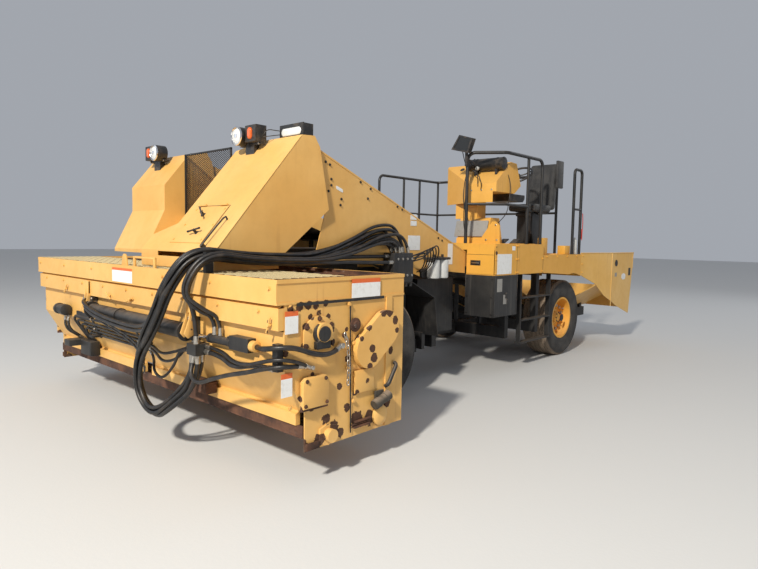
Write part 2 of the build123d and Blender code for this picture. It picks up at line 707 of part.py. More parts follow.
# Conveyors
def conveyor_frame(side):
    half_depth = CONV_DEPTH / 2
    pieces = []
    for edge in (-1, 1):
        x = edge * (CONV_HALF - CONV_WALL / 2)
        wall = Pos(x, CONV_LENGTH / 2, -half_depth) * Box(CONV_WALL, CONV_LENGTH, CONV_DEPTH)
        for y in (90, CONV_LENGTH - 90):
            wall -= Pos(x, y, -half_depth) * Rot(0, 90, 0) * Cylinder(18 + RUN_GAP, 20)
        pieces.append(wall)
    for i in range(CONV_TUBES):
        y = 500 + i * (CONV_LENGTH - 1000) / (CONV_TUBES - 1)
        length = 2 * (CONV_HALF - CONV_WALL - SEAT)
        pieces.append(Pos(0, y, -half_depth) * Rot(0, 90, 0) * Cylinder(16, length))
    return conveyor_place(side) * Compound(pieces)


def belt(side):
    run = CONV_LENGTH - 180
    outer = SlotCenterToCenter(run, 2 * (PULLEY_R + BELT_THICK + 0.3))
    hole = SlotCenterToCenter(run, 2 * (PULLEY_R + 0.3))
    loop = Plane.YZ.location * extrude(outer - hole, 2 * BELT_HALF)
    loop = Pos(-BELT_HALF, CONV_LENGTH / 2, -CONV_DEPTH / 2) * loop
    return conveyor_place(side) * loop


def pulleys(side):
    rollers = []
    for y in (90, CONV_LENGTH - 90):
        roller = Pos(0, y, -CONV_DEPTH / 2) * Rot(0, 90, 0) * Cylinder(PULLEY_R, 2 * BELT_HALF)
        roller += Pos(0, y, -CONV_DEPTH / 2) * Rot(0, 90, 0) * Cylinder(18, 2 * CONV_HALF)
        rollers.append(conveyor_place(side) * roller)
    return rollers


def side_panel(side):
    """The big outer cover between a hood and the deck, in the conveyor's flared plane."""
    outline = [(-2800, 2325), (-2772, 2325), (-2762, 2346), (DECK_Y0 - 14, 1474), (DECK_Y0 - 14, 1222),
               (-2610, 1420), (-2800, 1420), (-2660, 1850)]
    stretch = 1 / math.cos(math.atan(CONV_FLARE))
    local = [((y - CONV_TOP_Y) * stretch, z) for y, z in outline]
    plate = slab_x(local, 0, DECK_WALL)
    if side < 0:
        plate = mirrored(plate)
    return panel_place(side) * plate


BOTH = (1, -1)
parts["conveyor_frame_left"] = conveyor_frame(1)
parts["conveyor_frame_right"] = conveyor_frame(-1)
parts["belts"] = Compound([belt(side) for side in BOTH])
parts["pulleys"] = Compound([roller for side in BOTH for roller in pulleys(side)])
parts["side_panels"] = Compound([side_panel(side) for side in BOTH])


# Operator's deck
def deck():
    """The high deck: floor, side boxes and front, of plates that meet at a small gap, open underneath."""
    top = DECK_TOP - DECK_WALL - SEAT
    front = DECK_Y0 + DECK_WALL + SEAT
    rear = DECK_STEP_Y - DECK_WALL - SEAT
    plates = [
        block(-DECK_HALF, DECK_HALF, DECK_Y0, DECK_STEP_Y, DECK_TOP - DECK_WALL, DECK_TOP),
        block(-DECK_HALF, DECK_HALF, DECK_Y0, DECK_Y0 + DECK_WALL, 1500, top),
        block(-DECK_HALF, DECK_HALF, DECK_STEP_Y - DECK_WALL, DECK_STEP_Y, ENTRY_TOP + SEAT, top),
    ]
    for side in (-1, 1):
        inner, outer = sorted((side * (DECK_HALF - DECK_WALL), side * DECK_HALF))
        plates.append(block(inner, outer, front, rear, DECK_LOW + DECK_WALL + SEAT, top))
        web_in, web_out = sorted((side * DECK_IN, side * (DECK_IN + DECK_WALL)))
        plates.append(block(web_in, web_out, front, rear, DECK_LOW + DECK_WALL + SEAT, top))
        floor_in, floor_out = sorted((side * DECK_IN, side * DECK_HALF))
        plates.append(block(floor_in, floor_out, DECK_Y0, DECK_STEP_Y, DECK_LOW, DECK_LOW + DECK_WALL))
    return Compound(plates)


parts["deck"] = deck()


def entry_deck():
    """The lower deck at the rear, with arches over the rear wheels."""
    shell = block(-DECK_HALF, DECK_HALF, DECK_STEP_Y, DECK_Y1, ENTRY_TOP - DECK_WALL, ENTRY_TOP)
    shell += block(-DECK_HALF, DECK_HALF, DECK_Y1 - DECK_WALL, DECK_Y1, 1100, ENTRY_TOP)
    for side in (-1, 1):
        inner, outer = sorted((side * (DECK_HALF - DECK_WALL), side * DECK_HALF))
        skirt = slab_x([(DECK_STEP_Y, ENTRY_TOP), (DECK_STEP_Y, DECK_LOW), (DECK_Y1, ENTRY_LOW),
                        (DECK_Y1, ENTRY_TOP)], inner, outer)
        shell += skirt
    for side in (-1, 1):
        shell -= rod_x(side * 700, side * 1400, REAR_AXLE_Y, WHEEL_R, ARCH_R)
    return shell


parts["entry_deck"] = entry_deck()

parts["deck_box_door"] = block(DECK_IN + 10, DECK_HALF - 10, DECK_Y0 - DECK_WALL - SEAT, DECK_Y0 - SEAT,
                               DECK_LOW + 10, DECK_TOP - 10)


def tool_box(side):
    inner, outer = sorted((side * DECK_IN, side * DECK_HALF))
    box = block(inner, outer, DECK_Y0 - 10, BOX_Y1, BOX_LOW, DECK_LOW)
    cut_in, cut_out = sorted((side * (DECK_IN + DECK_WALL), side * (DECK_HALF + 1)))
    return box - block(cut_in, cut_out, DECK_Y0 - 4, BOX_Y1 - DECK_WALL, BOX_LOW + DECK_WALL, DECK_LOW - DECK_WALL)


parts["tool_box"] = tool_box(1)
parts["tool_box_door"] = block(DECK_HALF + SEAT, DECK_HALF + SEAT + DECK_WALL, DECK_Y0 - 8, BOX_Y1 - 2,
                               BOX_LOW + 2, DECK_LOW - 2)
parts["fuel_tank"] = block(-DECK_HALF, -DECK_IN, DECK_Y0 - 10, BOX_Y1, BOX_LOW, DECK_LOW)
parts["hydraulic_tank"] = block(560, 860, -1080, -420, 560, 1180) + block(RAIL_OUT, 860, -800, -720, RAIL_Z0, 560)


def ladder():
    x = 1230
    steps = []
    for y in (480, 1240):
        steps.append(block(x - 30, x + 30, y, y + 12, 330, DECK_LOW))
    for z in (340, 620, 900):
        steps.append(block(x - 45, x + 45, 480, 1252, z, z + 14))
    return steps[0].fuse(*steps[1:])


parts["ladder"] = ladder()


# Handrails
# Rails stand a little inside the deck's side, and their braces and middle bars are thinner
RAIL_INSET = 29
RAIL_X_OUT = DECK_HALF - RAIL_INSET
BRACE_TUBE_R = 18
MID_TUBE_R = 16


def rail_front():
    """Front post, a rail that runs out to the deck's side and back, and its two uprights."""
    post, outer, high, low, end = 867, RAIL_X_OUT - 16, 2640, 2040, DECK_STEP_Y - 25
    main = tube([(post, -195, DECK_TOP), (post, -195, high), (outer, 60, high), (outer, end, high),
                 (outer, end, DECK_TOP)], RAIL_TUBE_R, 90)
    main += straight_tube((outer, 565, DECK_TOP), (outer, 565, high), BRACE_TUBE_R)
    return main + tube([(post, -195, low), (outer, 60, low), (outer, 565, low)], MID_TUBE_R, 50)


def rail_rear():
    x, high, low = RAIL_X_OUT, 2620, 2070
    main = tube([(x, 1845, ENTRY_TOP), (x, 1845, high), (x, 2080, high), (x, 2080, ENTRY_TOP)], RAIL_TUBE_R, 60)
    return main + straight_tube((x, 1845, low), (x, 2080, low), MID_TUBE_R)


parts["handrails_left"] = Compound([rail_front(), rail_rear()])


def rail_right():
    x, high, low = -RAIL_X_OUT, 2580, 2030
    main = tube([(x, 590, DECK_TOP), (x, 590, high), (x, 2070, high), (900, 2070, high), (900, 2070, ENTRY_TOP)],
                RAIL_TUBE_R, 90)
    for y, foot in ((1170, ENTRY_TOP), (1570, ENTRY_TOP), (2070, ENTRY_TOP)):
        main += straight_tube((x, y, foot), (x, y, high), BRACE_TUBE_R)
    main += straight_tube((x, 590, low), (x, 2070, low), MID_TUBE_R)
    main += straight_tube((x, 2070, low), (900, 2070, low), MID_TUBE_R)
    return main


parts["handrail_right"] = rail_right()


# Operator's station
CONSOLE_OUT = 1170
CONSOLE_IN = 260
CONSOLE_LOW = 2187
CONSOLE_Y = -58
console_side = [(CONSOLE_Y, CONSOLE_LOW), (379, CONSOLE_LOW), (529, 2290), (415, 2551), (278, 2559),
                (CONSOLE_Y, 2285)]
console_plan = [(799, CONSOLE_Y), (1150, CONSOLE_Y), (CONSOLE_OUT, CONSOLE_Y + 20), (CONSOLE_OUT, 600),
                (CONSOLE_IN, 600), (CONSOLE_IN, 254)]


def console_top(y):
    """Height of the console's sloping top."""
    (y0, z0), (y1, z1) = console_side[5], console_side[4]
    return z0 + (y - y0) * (z1 - z0) / (y1 - y0)


def console():
    """Instrument housing on a neck and pedestal, with a plate hanging from its front and inner corner."""
    head = slab_x(console_side, CONSOLE_IN, CONSOLE_OUT) & slab_z(console_plan, 2000, 2600)
    skirt = [(CONSOLE_IN, 254), (799, CONSOLE_Y), (1134, CONSOLE_Y), (1134, CONSOLE_Y + 8), (801, CONSOLE_Y + 8),
             (CONSOLE_IN + 4, 260)]
    head += slab_z(skirt, 2063, CONSOLE_LOW + 2)
    head += block(480, 800, 140, 330, 1880, CONSOLE_LOW)
    head += slab_x([(60, DECK_TOP + SEAT), (420, DECK_TOP + SEAT), (330, 1890), (140, 1890)], 560, 1000)
    gusset = [(900, DECK_TOP + SEAT), (1190, DECK_TOP + SEAT), (1180, 1790), (1125, 1840), (1080, 1840),
              (930, 1640)]
    return head + slab_y(gusset, 40, 62) + block(560, 1100, 55, 80, DECK_TOP + SEAT, 1640)


def console_cowl():
    """Round cowl on two feet over the console, and the black shroud under the steering column."""
    y, z, radius = 110, 2530, 70
    cowl = rod_x(716, 1166, y, z, radius)
    for x in (780, 1070):
        cowl += slab_x([(y - 30, console_top(y - 30) + SEAT), (y + 30, console_top(y + 30) + SEAT),
                        (y + 30, z), (y - 30, z)], x, x + 30)
    shroud = slab_x([(330 + SEAT, 2100), (650, 2100), (690, 2140), (690, CONSOLE_LOW - SEAT),
                     (330 + SEAT, CONSOLE_LOW - SEAT)], 800, 1140)
    return Compound([cowl, shroud])


parts["console"] = console()
parts["console_cowl"] = console_cowl()


def steering_wheel():
    place = Pos(1010, 725, 2450) * Rot(35, 0, 0)
    rim_section = Plane.XZ * Pos(190, 0) * RegularPolygon(14, 8)
    ring = place * revolve(rim_section, Axis.Z)
    ring += place * Box(380, 24, 10)
    ring += place * Cylinder(34, 30)
    column = straight_tube((1010, 725, 2445), (1010, 530, 2168), 22)
    return ring + (column & block(900, 1100, 400, 900, CONSOLE_LOW, 2600))


parts["steering_wheel"] = steering_wheel()

# Seat: front of the backrest, inner and outer sides
SEAT_BACK_Y = 1350
SEAT_IN = 790
SEAT_OUT = 1200
seat_post = block(880, 1100, DECK_STEP_Y + 30, DECK_STEP_Y + 300, ENTRY_TOP, 1990)
seat_pan = slab_x([(900, 1990), (1462, 1990), (1552, 2600), (1538, 2604), (1448, 2000), (900, 2000)], 900, 1090)
arm_rest = block(SEAT_OUT + 6, SEAT_OUT + 40, 1390, 1545, 2335, 2690)
arm_hinge = block(1060, SEAT_OUT + 10, 1520, 1560, 2420, 2470)
parts["seat_frame"] = seat_post + seat_pan + arm_rest + arm_hinge
cushion = block(SEAT_IN - 10, SEAT_OUT, 870, SEAT_BACK_Y - 5, 2000.3, 2120)
backrest = slab_x([(SEAT_BACK_Y - 4, 2030), (1452, 2030), (1534, 2580), (1534, 2680), (SEAT_BACK_Y + 90, 2680)],
                  SEAT_IN, SEAT_OUT)
parts["seat_pads"] = Compound([cushion, backrest])

# Display on the front rail post, tilted
display_outline = [(804, 2839), (993, 2783), (930, 2621), (694, 2678)]
DISPLAY_BACK = -195 - RAIL_TUBE_R - SEAT
parts["display"] = slab_y(display_outline, -285, -225) + block(850, 884, -230, DISPLAY_BACK, 2480, 2700)


# Receiving hopper
def receiving_hopper():
    """Open tub that a lorry tips into: walls and a floor that falls to the belts."""
    wall = 8
    inner, end = RECEIVE_HALF - 4, RECEIVE_BACK - 70
    front = DECK_Y1 + 400
    front_inner = DECK_HALF - 6 + (inner - DECK_HALF + 6) * (front - DECK_Y1) / (RECEIVE_FOLD - DECK_Y1)
    tub = None
    for side in (-1, 1):
        flank = slab_z([(side * (DECK_HALF - 10), DECK_Y1 + SEAT), (side * DECK_HALF, DECK_Y1 + SEAT),
                        (side * RECEIVE_HALF, RECEIVE_FOLD), (side * RECEIVE_HALF, RECEIVE_BACK),
                        (side * (RECEIVE_HALF - wall), RECEIVE_BACK),
                        (side * (RECEIVE_HALF - wall), RECEIVE_FOLD)], 470, RECEIVE_TOP)
        keep = slab_x([(DECK_Y1, RECEIVE_TOP), (DECK_Y1, ENTRY_LOW), (DECK_Y1 + 420, 1000), (DECK_Y1 + 698, 807),
                       (DECK_Y1 + 1100, 640), (RECEIVE_BACK - 139, 472), (RECEIVE_BACK, RECEIVE_TOP)],
                      -RECEIVE_HALF - 5, RECEIVE_HALF + 5)
        flank = flank & keep
        (x0, z0), (x1, z1) = TUB_SLOPE
        slope = slab_y([(side * x0, z0), (side * x1, z1), (side * x1, z1 + 10), (side * (x0 - 5), z0 + 8)],
                       DECK_Y1 + 420, end - 10)
        plan = [(side * 600, front), (side * front_inner, front), (side * inner, RECEIVE_FOLD),
                (side * inner, end), (side * 600, end)]
        slope = slope & slab_z(plan, 400, 1200)
        tub = flank + slope if tub is None else tub + flank + slope
    (x0, z0), (x1, z1) = TUB_SLOPE
    above = slab_y([(-x1, z1 + 5), (-x0, z0 + 4), (-x0, 400), (x0, 400), (x0, z0 + 4), (x1, z1 + 5)], front, end)
    floor = slab_x([(DECK_Y1 + 600, z0), (end - 60, 660), (end - 60, 668), (DECK_Y1 + 600, z0 + 8)], -x1, x1)
    tub += floor & above
    tub += slab_x([(end - 80, 560), (end - 72, 560), (end - 10, 900), (end - 18, 900)], -inner, inner)
    return tub


parts["receiving_hopper"] = receiving_hopper()

HITCH_PIN_R = 20
HITCH_END = -TUBE_Y + TUBE_R


def hitch():
    lug = block(-60, 60, ARM_END, HITCH_END, 420, 450) + block(-60, 60, ARM_END, HITCH_END, 490, 520)
    lug += block(-60, 60, ARM_END, ARM_END + 14, 410, 530)
    return lug - rod_z(400, 540, 0, 3800, HITCH_PIN_R)


parts["truck_hitch"] = hitch()


def fender(side):
    """Bent plate above and behind a front wheel, held by a bracket to the rail."""
    outline = [(-2300, 1180), (-1560, 1180), (-1200, 1010), (-1130, 600)]
    strip = outline + [(y + 6, z + 6) for y, z in reversed(outline)]
    x0, x1 = sorted((side * 800, side * 1190))
    plate = slab_x(strip, x0, x1)
    bracket_in, bracket_out = sorted((side * RAIL_OUT, side * 1000))
    return plate + block(bracket_in, bracket_out, -1160, -1110, RAIL_Z0 + 40, RAIL_Z1 + 80)


parts["front_fenders"] = Compound([fender(side) for side in BOTH])


# Lamps
def lamp_cluster(x, y, z, order, slope):
    """A round headlight beside a square marker lamp, on one bracket off a hood's sloping face."""
    (y0, z0), (y1, z1) = slope

    def face_z(at_y):
        return z0 + (at_y - y0) * (z1 - z0) / (y1 - y0)

    foot = slab_x([(y + 10, face_z(y + 10)), (y + 60, face_z(y + 60)), (y + 60, z - 50), (y + 10, z - 50)],
                  x - 60, x + 60)
    bracket = block(x - 150, x + 150, y + 10, y + 60, z - 70, z - 50)
    head = rod_y(y - 60, y + 40, x - order * 85, z + 10, 78)
    marker = block(x + order * 75 - 75, x + order * 75 + 75, y - 30, y + 70, z - 50, z + 90)
    stem = block(x - order * 85 - 20, x - order * 85 + 20, y + 10, y + 40, z - 70, z)
    return bracket + head + marker + stem + foot


def top_lamp():
    """A box lamp seated on the flat top of the left hood."""
    (y0, z0), (y1, z1) = left_hood[1], left_hood[2]
    front, back = y0 + 20, y1 - 10

    def top_z(y):
        return z0 + (y - y0) * (z1 - z0) / (y1 - y0)

    return slab_x([(front, top_z(front)), (back, top_z(back)), (back, 2532), (front, 2532)], 850, 1150)


parts["lamps"] = Compound([lamp_cluster(600, -3080, 2450, 1, left_hood[0:2]),
                           lamp_cluster(-900, -3150, 2415, -1, right_hood[3:5]), top_lamp()])


def filters_and_valves():
    """Filter canisters under a head on the left side panel, and the valve bank on the fender."""
    head = block(DECK_WALL, 126, 1640, 1840, 1400, 1425)
    for y in (1690, 1790):
        head += rod_z(1200, 1400, 72, y, 46)
    return Compound([panel_place(1) * head, block(1046, 1190, -1850, -1560, 1186, 1480)])


parts["filters_and_valves"] = filters_and_valves()

# Hydraulic hoses: outside diameter, and the corners of each route
HOSE_R = 17
HOSES = {
    "hose_loop": [(1116, -1850.4, 1445), (1116, -2090, 1445), (1152, -2470, 1447), (1205, -2860, 1412),
                  (1270, -3240, 1410), (1245, -3600, 1425), (1160, -3925, 1475), (1075, -4055, 1250),
                  (930, -4060, 1030), (740, -4050, 850), (570, -4040, 660), (560, -4030, 420), (760, -4015, 290),
                  (985, -4000, 395), (1150, -3862, 590), (1150, -3862, 774.6)],
    "hose_drop": [(1168, -1850.4, 1390), (1168, -2100, 1390), (1215, -2480, 1405), (1300, -2860, 1405),
                  (1370, -3240, 1410), (1385, -3600, 1425), (1330, -3935, 1480), (1260, -4060, 1240),
                  (1185, -3925, 1060), (1185, -3925, 855.4)],
    "hose_end": [(1210.4, -3866, 800), (1400, -3866, 800), (1600, -3900, 750), (1800, -3866, 800),
                 (1989.6, -3866, 800)],
}


def hose(name):
    """A hose of straight runs and arcs; each arc's radius follows from its shorter run and its turn."""
    corners = [Vector(*corner) for corner in HOSES[name]]
    radii = []
    for before, corner, after in zip(corners, corners[1:], corners[2:]):
        one, two = corner - before, after - corner
        turn = math.radians(one.get_angle(two))
        radii.append(0.45 * min(one.length, two.length) / math.tan(turn / 2))
    route = FilletPolyline(*corners, radius=radii)
    return sweep(Plane(origin=route @ 0, z_dir=route % 0) * Circle(HOSE_R), path=route), route.length, min(radii)


for name in HOSES:
    shape, length, tightest = hose(name)
    parts[name] = shape
    print(name, "length", round(length), "tightest bend", round(tightest),
          "volume share", round(shape.volume / (math.pi * HOSE_R ** 2 * length), 3))

os.makedirs("parts", exist_ok=True)
for name, shape in parts.items():
    export_step(shape, "parts/" + name + ".step")
print(len(parts), "nodes")
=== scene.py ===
"""Dresses the packed chip spreader: finishes, hoses, lamps, tread, fasteners, trim and the studio."""
import json
import math

import bmesh
import bpy
from mathutils import Matrix, Vector


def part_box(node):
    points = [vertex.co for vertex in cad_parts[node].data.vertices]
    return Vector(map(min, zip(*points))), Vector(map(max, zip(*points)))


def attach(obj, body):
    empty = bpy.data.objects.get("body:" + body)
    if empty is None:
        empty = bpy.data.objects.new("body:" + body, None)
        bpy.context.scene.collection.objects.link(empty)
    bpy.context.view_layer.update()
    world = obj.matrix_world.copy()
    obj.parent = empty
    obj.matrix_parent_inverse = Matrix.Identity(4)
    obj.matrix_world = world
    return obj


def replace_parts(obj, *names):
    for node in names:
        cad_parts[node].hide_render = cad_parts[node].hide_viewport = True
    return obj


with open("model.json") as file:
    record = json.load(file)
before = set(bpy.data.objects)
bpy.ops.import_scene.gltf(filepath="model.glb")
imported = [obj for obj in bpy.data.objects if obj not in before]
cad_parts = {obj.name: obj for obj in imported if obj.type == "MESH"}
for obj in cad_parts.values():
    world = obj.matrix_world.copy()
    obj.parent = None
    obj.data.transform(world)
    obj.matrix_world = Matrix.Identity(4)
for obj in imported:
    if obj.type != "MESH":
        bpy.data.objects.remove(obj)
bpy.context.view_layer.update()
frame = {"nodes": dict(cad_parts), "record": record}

bl_info = {
    "name": "Chip Spreader",
    "version": (1, 0, 0),
    "blender": (4, 5, 0),
    "location": "View3D > Sidebar > Spreader",
    "description": "Dresses a self-propelled chip spreader and sets its studio",
    "category": "Object",
}

CHASSIS = "chassis"
TAU = math.tau


# Sizes and colours that a user would change
def metres(name, text, value):
    return bpy.props.FloatProperty(name=name, description=text, default=value, unit="LENGTH")


class SpreaderSizes(bpy.types.PropertyGroup):
    hose: metres("Hose", "Outside diameter of the main hoses", 0.034)
    bolt: metres("Bolt head", "Width of a bolt head across its corners", 0.026)
    plate: metres("Plate", "Thickness of the blank plates", 0.0015)
    guard_cell: metres("Guard cell", "Length of one diamond of the mesh guard", 0.034)
    chain_pitch: metres("Chain pitch", "Inside length of one chain link", 0.034)
    tread_blocks: bpy.props.IntProperty(name="Tread blocks", description="Blocks round a tyre", default=84)


def colour(name, text, value):
    return bpy.props.FloatVectorProperty(name=name, description=text, subtype="COLOR", size=4,
                                         min=0.0, max=1.0, default=(*value, 1.0))


class SpreaderColours(bpy.types.PropertyGroup):
    body: colour("Body", "Faded yellow of the hopper, hoods and side panels", (0.72, 0.40, 0.105))
    deck: colour("Deck", "Deeper yellow of the deck and console", (0.74, 0.38, 0.055))
    black: colour("Black", "Black paint of the rails, boxes and frame", (0.010, 0.010, 0.011))
    rust: colour("Rust", "Rust where paint has gone", (0.062, 0.030, 0.019))
    rim: colour("Rim", "Orange yellow of the wheels", (0.78, 0.38, 0.045))
    rubber: colour("Rubber", "Tyres, belts and hoses", (0.022, 0.021, 0.021))
    dust: colour("Dust", "Dust from stone chips", (0.36, 0.27, 0.19))
    plate: colour("Plate", "Blank white plates", (0.80, 0.81, 0.80))
    amber: colour("Amber", "Amber lamp lenses", (0.72, 0.12, 0.014))
    floor: colour("Floor", "Studio floor", (0.62, 0.62, 0.61))


def sizes():
    return bpy.context.scene.spreader_sizes


def paint(name):
    return tuple(getattr(bpy.context.scene.spreader_colours, name))


# Shader and geometry maths
class Wire:
    """One socket of a node, so that maths on it reads as arithmetic."""

    def __init__(self, graph, socket):
        self.graph = graph
        self.socket = socket

    def _math(self, operation, *values):
        return self.graph.node("ShaderNodeMath", {"operation": operation}, dict(enumerate(values)))

    def __add__(self, other):
        return self._math("ADD", self, other)

    def __radd__(self, other):
        return self._math("ADD", other, self)

    def __sub__(self, other):
        return self._math("SUBTRACT", self, other)

    def __rsub__(self, other):
        return self._math("SUBTRACT", other, self)

    def __mul__(self, other):
        return self._math("MULTIPLY", self, other)

    def __rmul__(self, other):
        return self._math("MULTIPLY", other, self)

    def __truediv__(self, other):
        return self._math("DIVIDE", self, other)

    def __pow__(self, other):
        return self._math("POWER", self, other)

    def most(self, other):
        return self._math("MAXIMUM", self, other)

    def sine(self):
        return self._math("SINE", self)

    def ramp(self, low, high):
        """0 below low, 1 above high, smooth between; low may be the larger."""
        return self.graph.node("ShaderNodeMapRange", {"interpolation_type": "SMOOTHSTEP"},
                               {0: self, 1: low, 2: high, 3: 0.0, 4: 1.0})


class Graph:
    """Adds nodes to a shader or geometry tree."""

    def __init__(self, tree):
        self.tree = tree
        tree.nodes.clear()

    def node(self, kind, settings=None, inputs=None, out=0):
        made = self.tree.nodes.new(kind)
        for key, value in (settings or {}).items():
            if key == "stops":
                ramp = made.color_ramp
                for i, (place, shade) in enumerate(value):
                    stop = ramp.elements[i] if i < len(ramp.elements) else ramp.elements.new(place)
                    stop.position = place
                    stop.color = shade
            else:
                setattr(made, key, value)
        for key, value in (inputs or {}).items():
            if isinstance(value, Wire):
                self.tree.links.new(value.socket, made.inputs[key])
            else:
                made.inputs[key].default_value = value
        return Wire(self, made.outputs[out]) if len(made.outputs) else None

    def mix(self, factor, one, other):
        return self.node("ShaderNodeMix", {"data_type": "RGBA"}, {0: factor, 6: one, 7: other}, 2)

    def object_point(self):
        return self.node("ShaderNodeTexCoord", out="Object")

    def parts(self, vector):
        split = self.node("ShaderNodeSeparateXYZ", None, {0: vector}).socket.node
        return [Wire(self, split.outputs[i]) for i in range(3)]

    def upward(self):
        """How far the surface faces up."""
        return self.parts(self.node("ShaderNodeNewGeometry", out="Normal"))[2]

    def join(self, x, y, z):
        return self.node("ShaderNodeCombineXYZ", None, {0: x, 1: y, 2: z})

    def noise(self, vector, scale, detail=3.0, rough=0.55):
        return self.node("ShaderNodeTexNoise", None,
                         {"Vector": vector, "Scale": scale, "Detail": detail, "Roughness": rough})

    def cells(self, vector, scale, feature="F1"):
        return self.node("ShaderNodeTexVoronoi", {"feature": feature}, {"Vector": vector, "Scale": scale})

    def merge(self, *shapes):
        made = self.tree.nodes.new("GeometryNodeJoinGeometry")
        for shape in shapes:
            self.tree.links.new(shape.socket, made.inputs[0])
        return Wire(self, made.outputs[0])

    def near(self, vector, spots):
        """1 at any of the given spots (x, y, z, radius) and 0 a radius away."""
        total = None
        for x, y, z, radius in spots:
            gap = self.node("ShaderNodeVectorMath", {"operation": "DISTANCE"}, {0: vector, 1: (x, y, z)},
                            "Value")
            here = gap.ramp(radius, radius * 0.35)
            total = here if total is None else total.most(here)
        return total

    def surface(self, base, rough, bump=None, **fixed):
        """Principled shader with a bump height in metres, written to the output."""
        inputs = {"Base Color": base, "Roughness": rough}
        if bump is not None:
            inputs["Normal"] = self.node("ShaderNodeBump", None,
                                         {"Strength": 1.0, "Distance": 1.0, "Height": bump})
        for key, value in fixed.items():
            inputs[key.replace("_", " ")] = value
        shader = self.node("ShaderNodeBsdfPrincipled", None, inputs)
        self.node("ShaderNodeOutputMaterial", None, {"Surface": shader})


def new_material(name):
    """A material, its graph and the point being shaded."""
    material = bpy.data.materials.new(name)
    material.use_nodes = True
    g = Graph(material.node_tree)
    return material, g, g.object_point()


def toned(base, red, green, blue):
    return base[0] * red, base[1] * green, base[2] * blue, 1.0


def painted_steel(name, base, faded, wear=0.25, dust=0.25, rough=0.42, streak=0.35, spots=(), low=0.0):
    """Paint that has faded, with chips gone to rust, rain streaks, dust and shallow dents."""
    material, g, point = new_material(name)
    x, y, z = g.parts(point)
    fade = g.noise(point, 1.1, 4.0).ramp(0.30, 0.72)
    shade = g.mix(fade, base, faded)
    mottle = g.noise(point, 9.0, 5.0, 0.65).ramp(0.35, 0.75)
    shade = g.mix(mottle * 0.18, shade, toned(base, 0.72, 0.66, 0.6))
    run = g.noise(g.join(x * 16.0, y * 16.0, z * 0.55), 1.0, 4.0, 0.6)
    run = run.ramp(0.56, 0.80) * g.noise(point, 2.3, 2.0).ramp(0.42, 0.62) * streak
    shade = g.mix(run, shade, (0.42, 0.17, 0.05, 1.0))
    rust = paint("rust")
    rust = g.mix(g.noise(point, 46.0, 4.0), toned(rust, 0.35, 0.35, 0.4), toned(rust, 2.1, 1.9, 1.5))
    patch = g.noise(point, 17.0, 8.0, 0.62)
    level = 0.82 - 0.10 * wear
    cluster = g.noise(point, 1.9, 2.0).ramp(0.45, 0.70) * wear
    bare = (patch + cluster * 0.14).ramp(level - 0.012, level + 0.012)
    if spots:
        torn = g.near(point, spots) + (g.noise(point, 19.0, 8.0, 0.72) - 0.5) * 2.6
        bare = bare.most(torn.ramp(0.60, 0.64))
    halo = (patch + cluster * 0.14).ramp(level - 0.10, level + 0.03) * 0.35
    shade = g.mix(halo, shade, (0.40, 0.20, 0.07, 1.0))
    shade = g.mix(bare, shade, rust)
    film = g.upward().ramp(0.2, 0.95) * g.noise(point, 6.0, 5.0, 0.7).ramp(0.30, 0.62)
    if low:
        film = film.most(z.ramp(low, low * 0.25) * g.noise(point, 21.0, 4.0).ramp(0.3, 0.7))
    film = film * dust
    shade = g.mix(film, shade, paint("dust"))
    roughness = (rough + 0.10 * mottle + 0.3 * film).most(0.86 * bare)
    dents = g.noise(point, 3.4, 1.0) * 0.0035
    grain = g.noise(point, 260.0, 2.0) * 0.00025
    g.surface(shade, roughness, dents + grain - bare * 0.0006 + (bare * patch) * 0.0012)
    return material


def black_steel(name, base, wear=0.3, dust=0.4, rough=0.5):
    """Black paint gone grey with dust, worn through in small places."""
    material, g, point = new_material(name)
    x, y, z = g.parts(point)
    grey = g.noise(point, 3.0, 5.0, 0.65).ramp(0.35, 0.75)
    shade = g.mix(grey * 0.6, base, (0.045, 0.043, 0.040, 1.0))
    run = g.noise(g.join(x * 38.0, y * 38.0, z * 1.2), 1.0, 3.0).ramp(0.50, 0.75)
    shade = g.mix(run * dust * 0.4, shade, (0.17, 0.155, 0.14, 1.0))
    patch = g.noise(point, 23.0, 7.0, 0.62)
    bare = (patch + g.noise(point, 2.0, 1.0) * 0.1).ramp(0.80 - 0.1 * wear, 0.82 - 0.1 * wear)
    shade = g.mix(bare, shade, paint("rust"))
    film = g.upward().ramp(0.1, 0.9) * g.noise(point, 8.0, 5.0, 0.7).ramp(0.25, 0.65) * dust
    shade = g.mix(film, shade, paint("dust"))
    g.surface(shade, (rough + 0.25 * film).most(0.8 * bare),
              g.noise(point, 180.0, 2.0) * 0.0003 - bare * 0.0004)
    return material


def bare_steel(name, bright=0.25, wet=0.0):
    """Steel that chips have scoured: brown rust, dark grease and a little bright metal."""
    material, g, point = new_material(name)
    rust = paint("rust")
    tone = g.noise(point, 7.0, 7.0, 0.65)
    shade = g.mix(tone.ramp(0.3, 0.7), toned(rust, 0.5, 0.5, 0.6), toned(rust, 2.2, 2.0, 1.7))
    shine = g.noise(point, 30.0, 5.0, 0.6).ramp(0.60, 0.68) * bright
    shade = g.mix(shine, shade, (0.34, 0.32, 0.30, 1.0))
    oil = g.noise(point, 4.0, 3.0).ramp(0.45, 0.60) * wet
    shade = g.mix(oil, shade, (0.008, 0.007, 0.006, 1.0))
    g.surface(shade, (0.85 - 0.35 * shine) - 0.5 * oil, tone * 0.002 + g.noise(point, 120.0, 3.0) * 0.0006)
    return material


AXLE_Z = 0.536
TREAD_R = (0.500, 0.522)


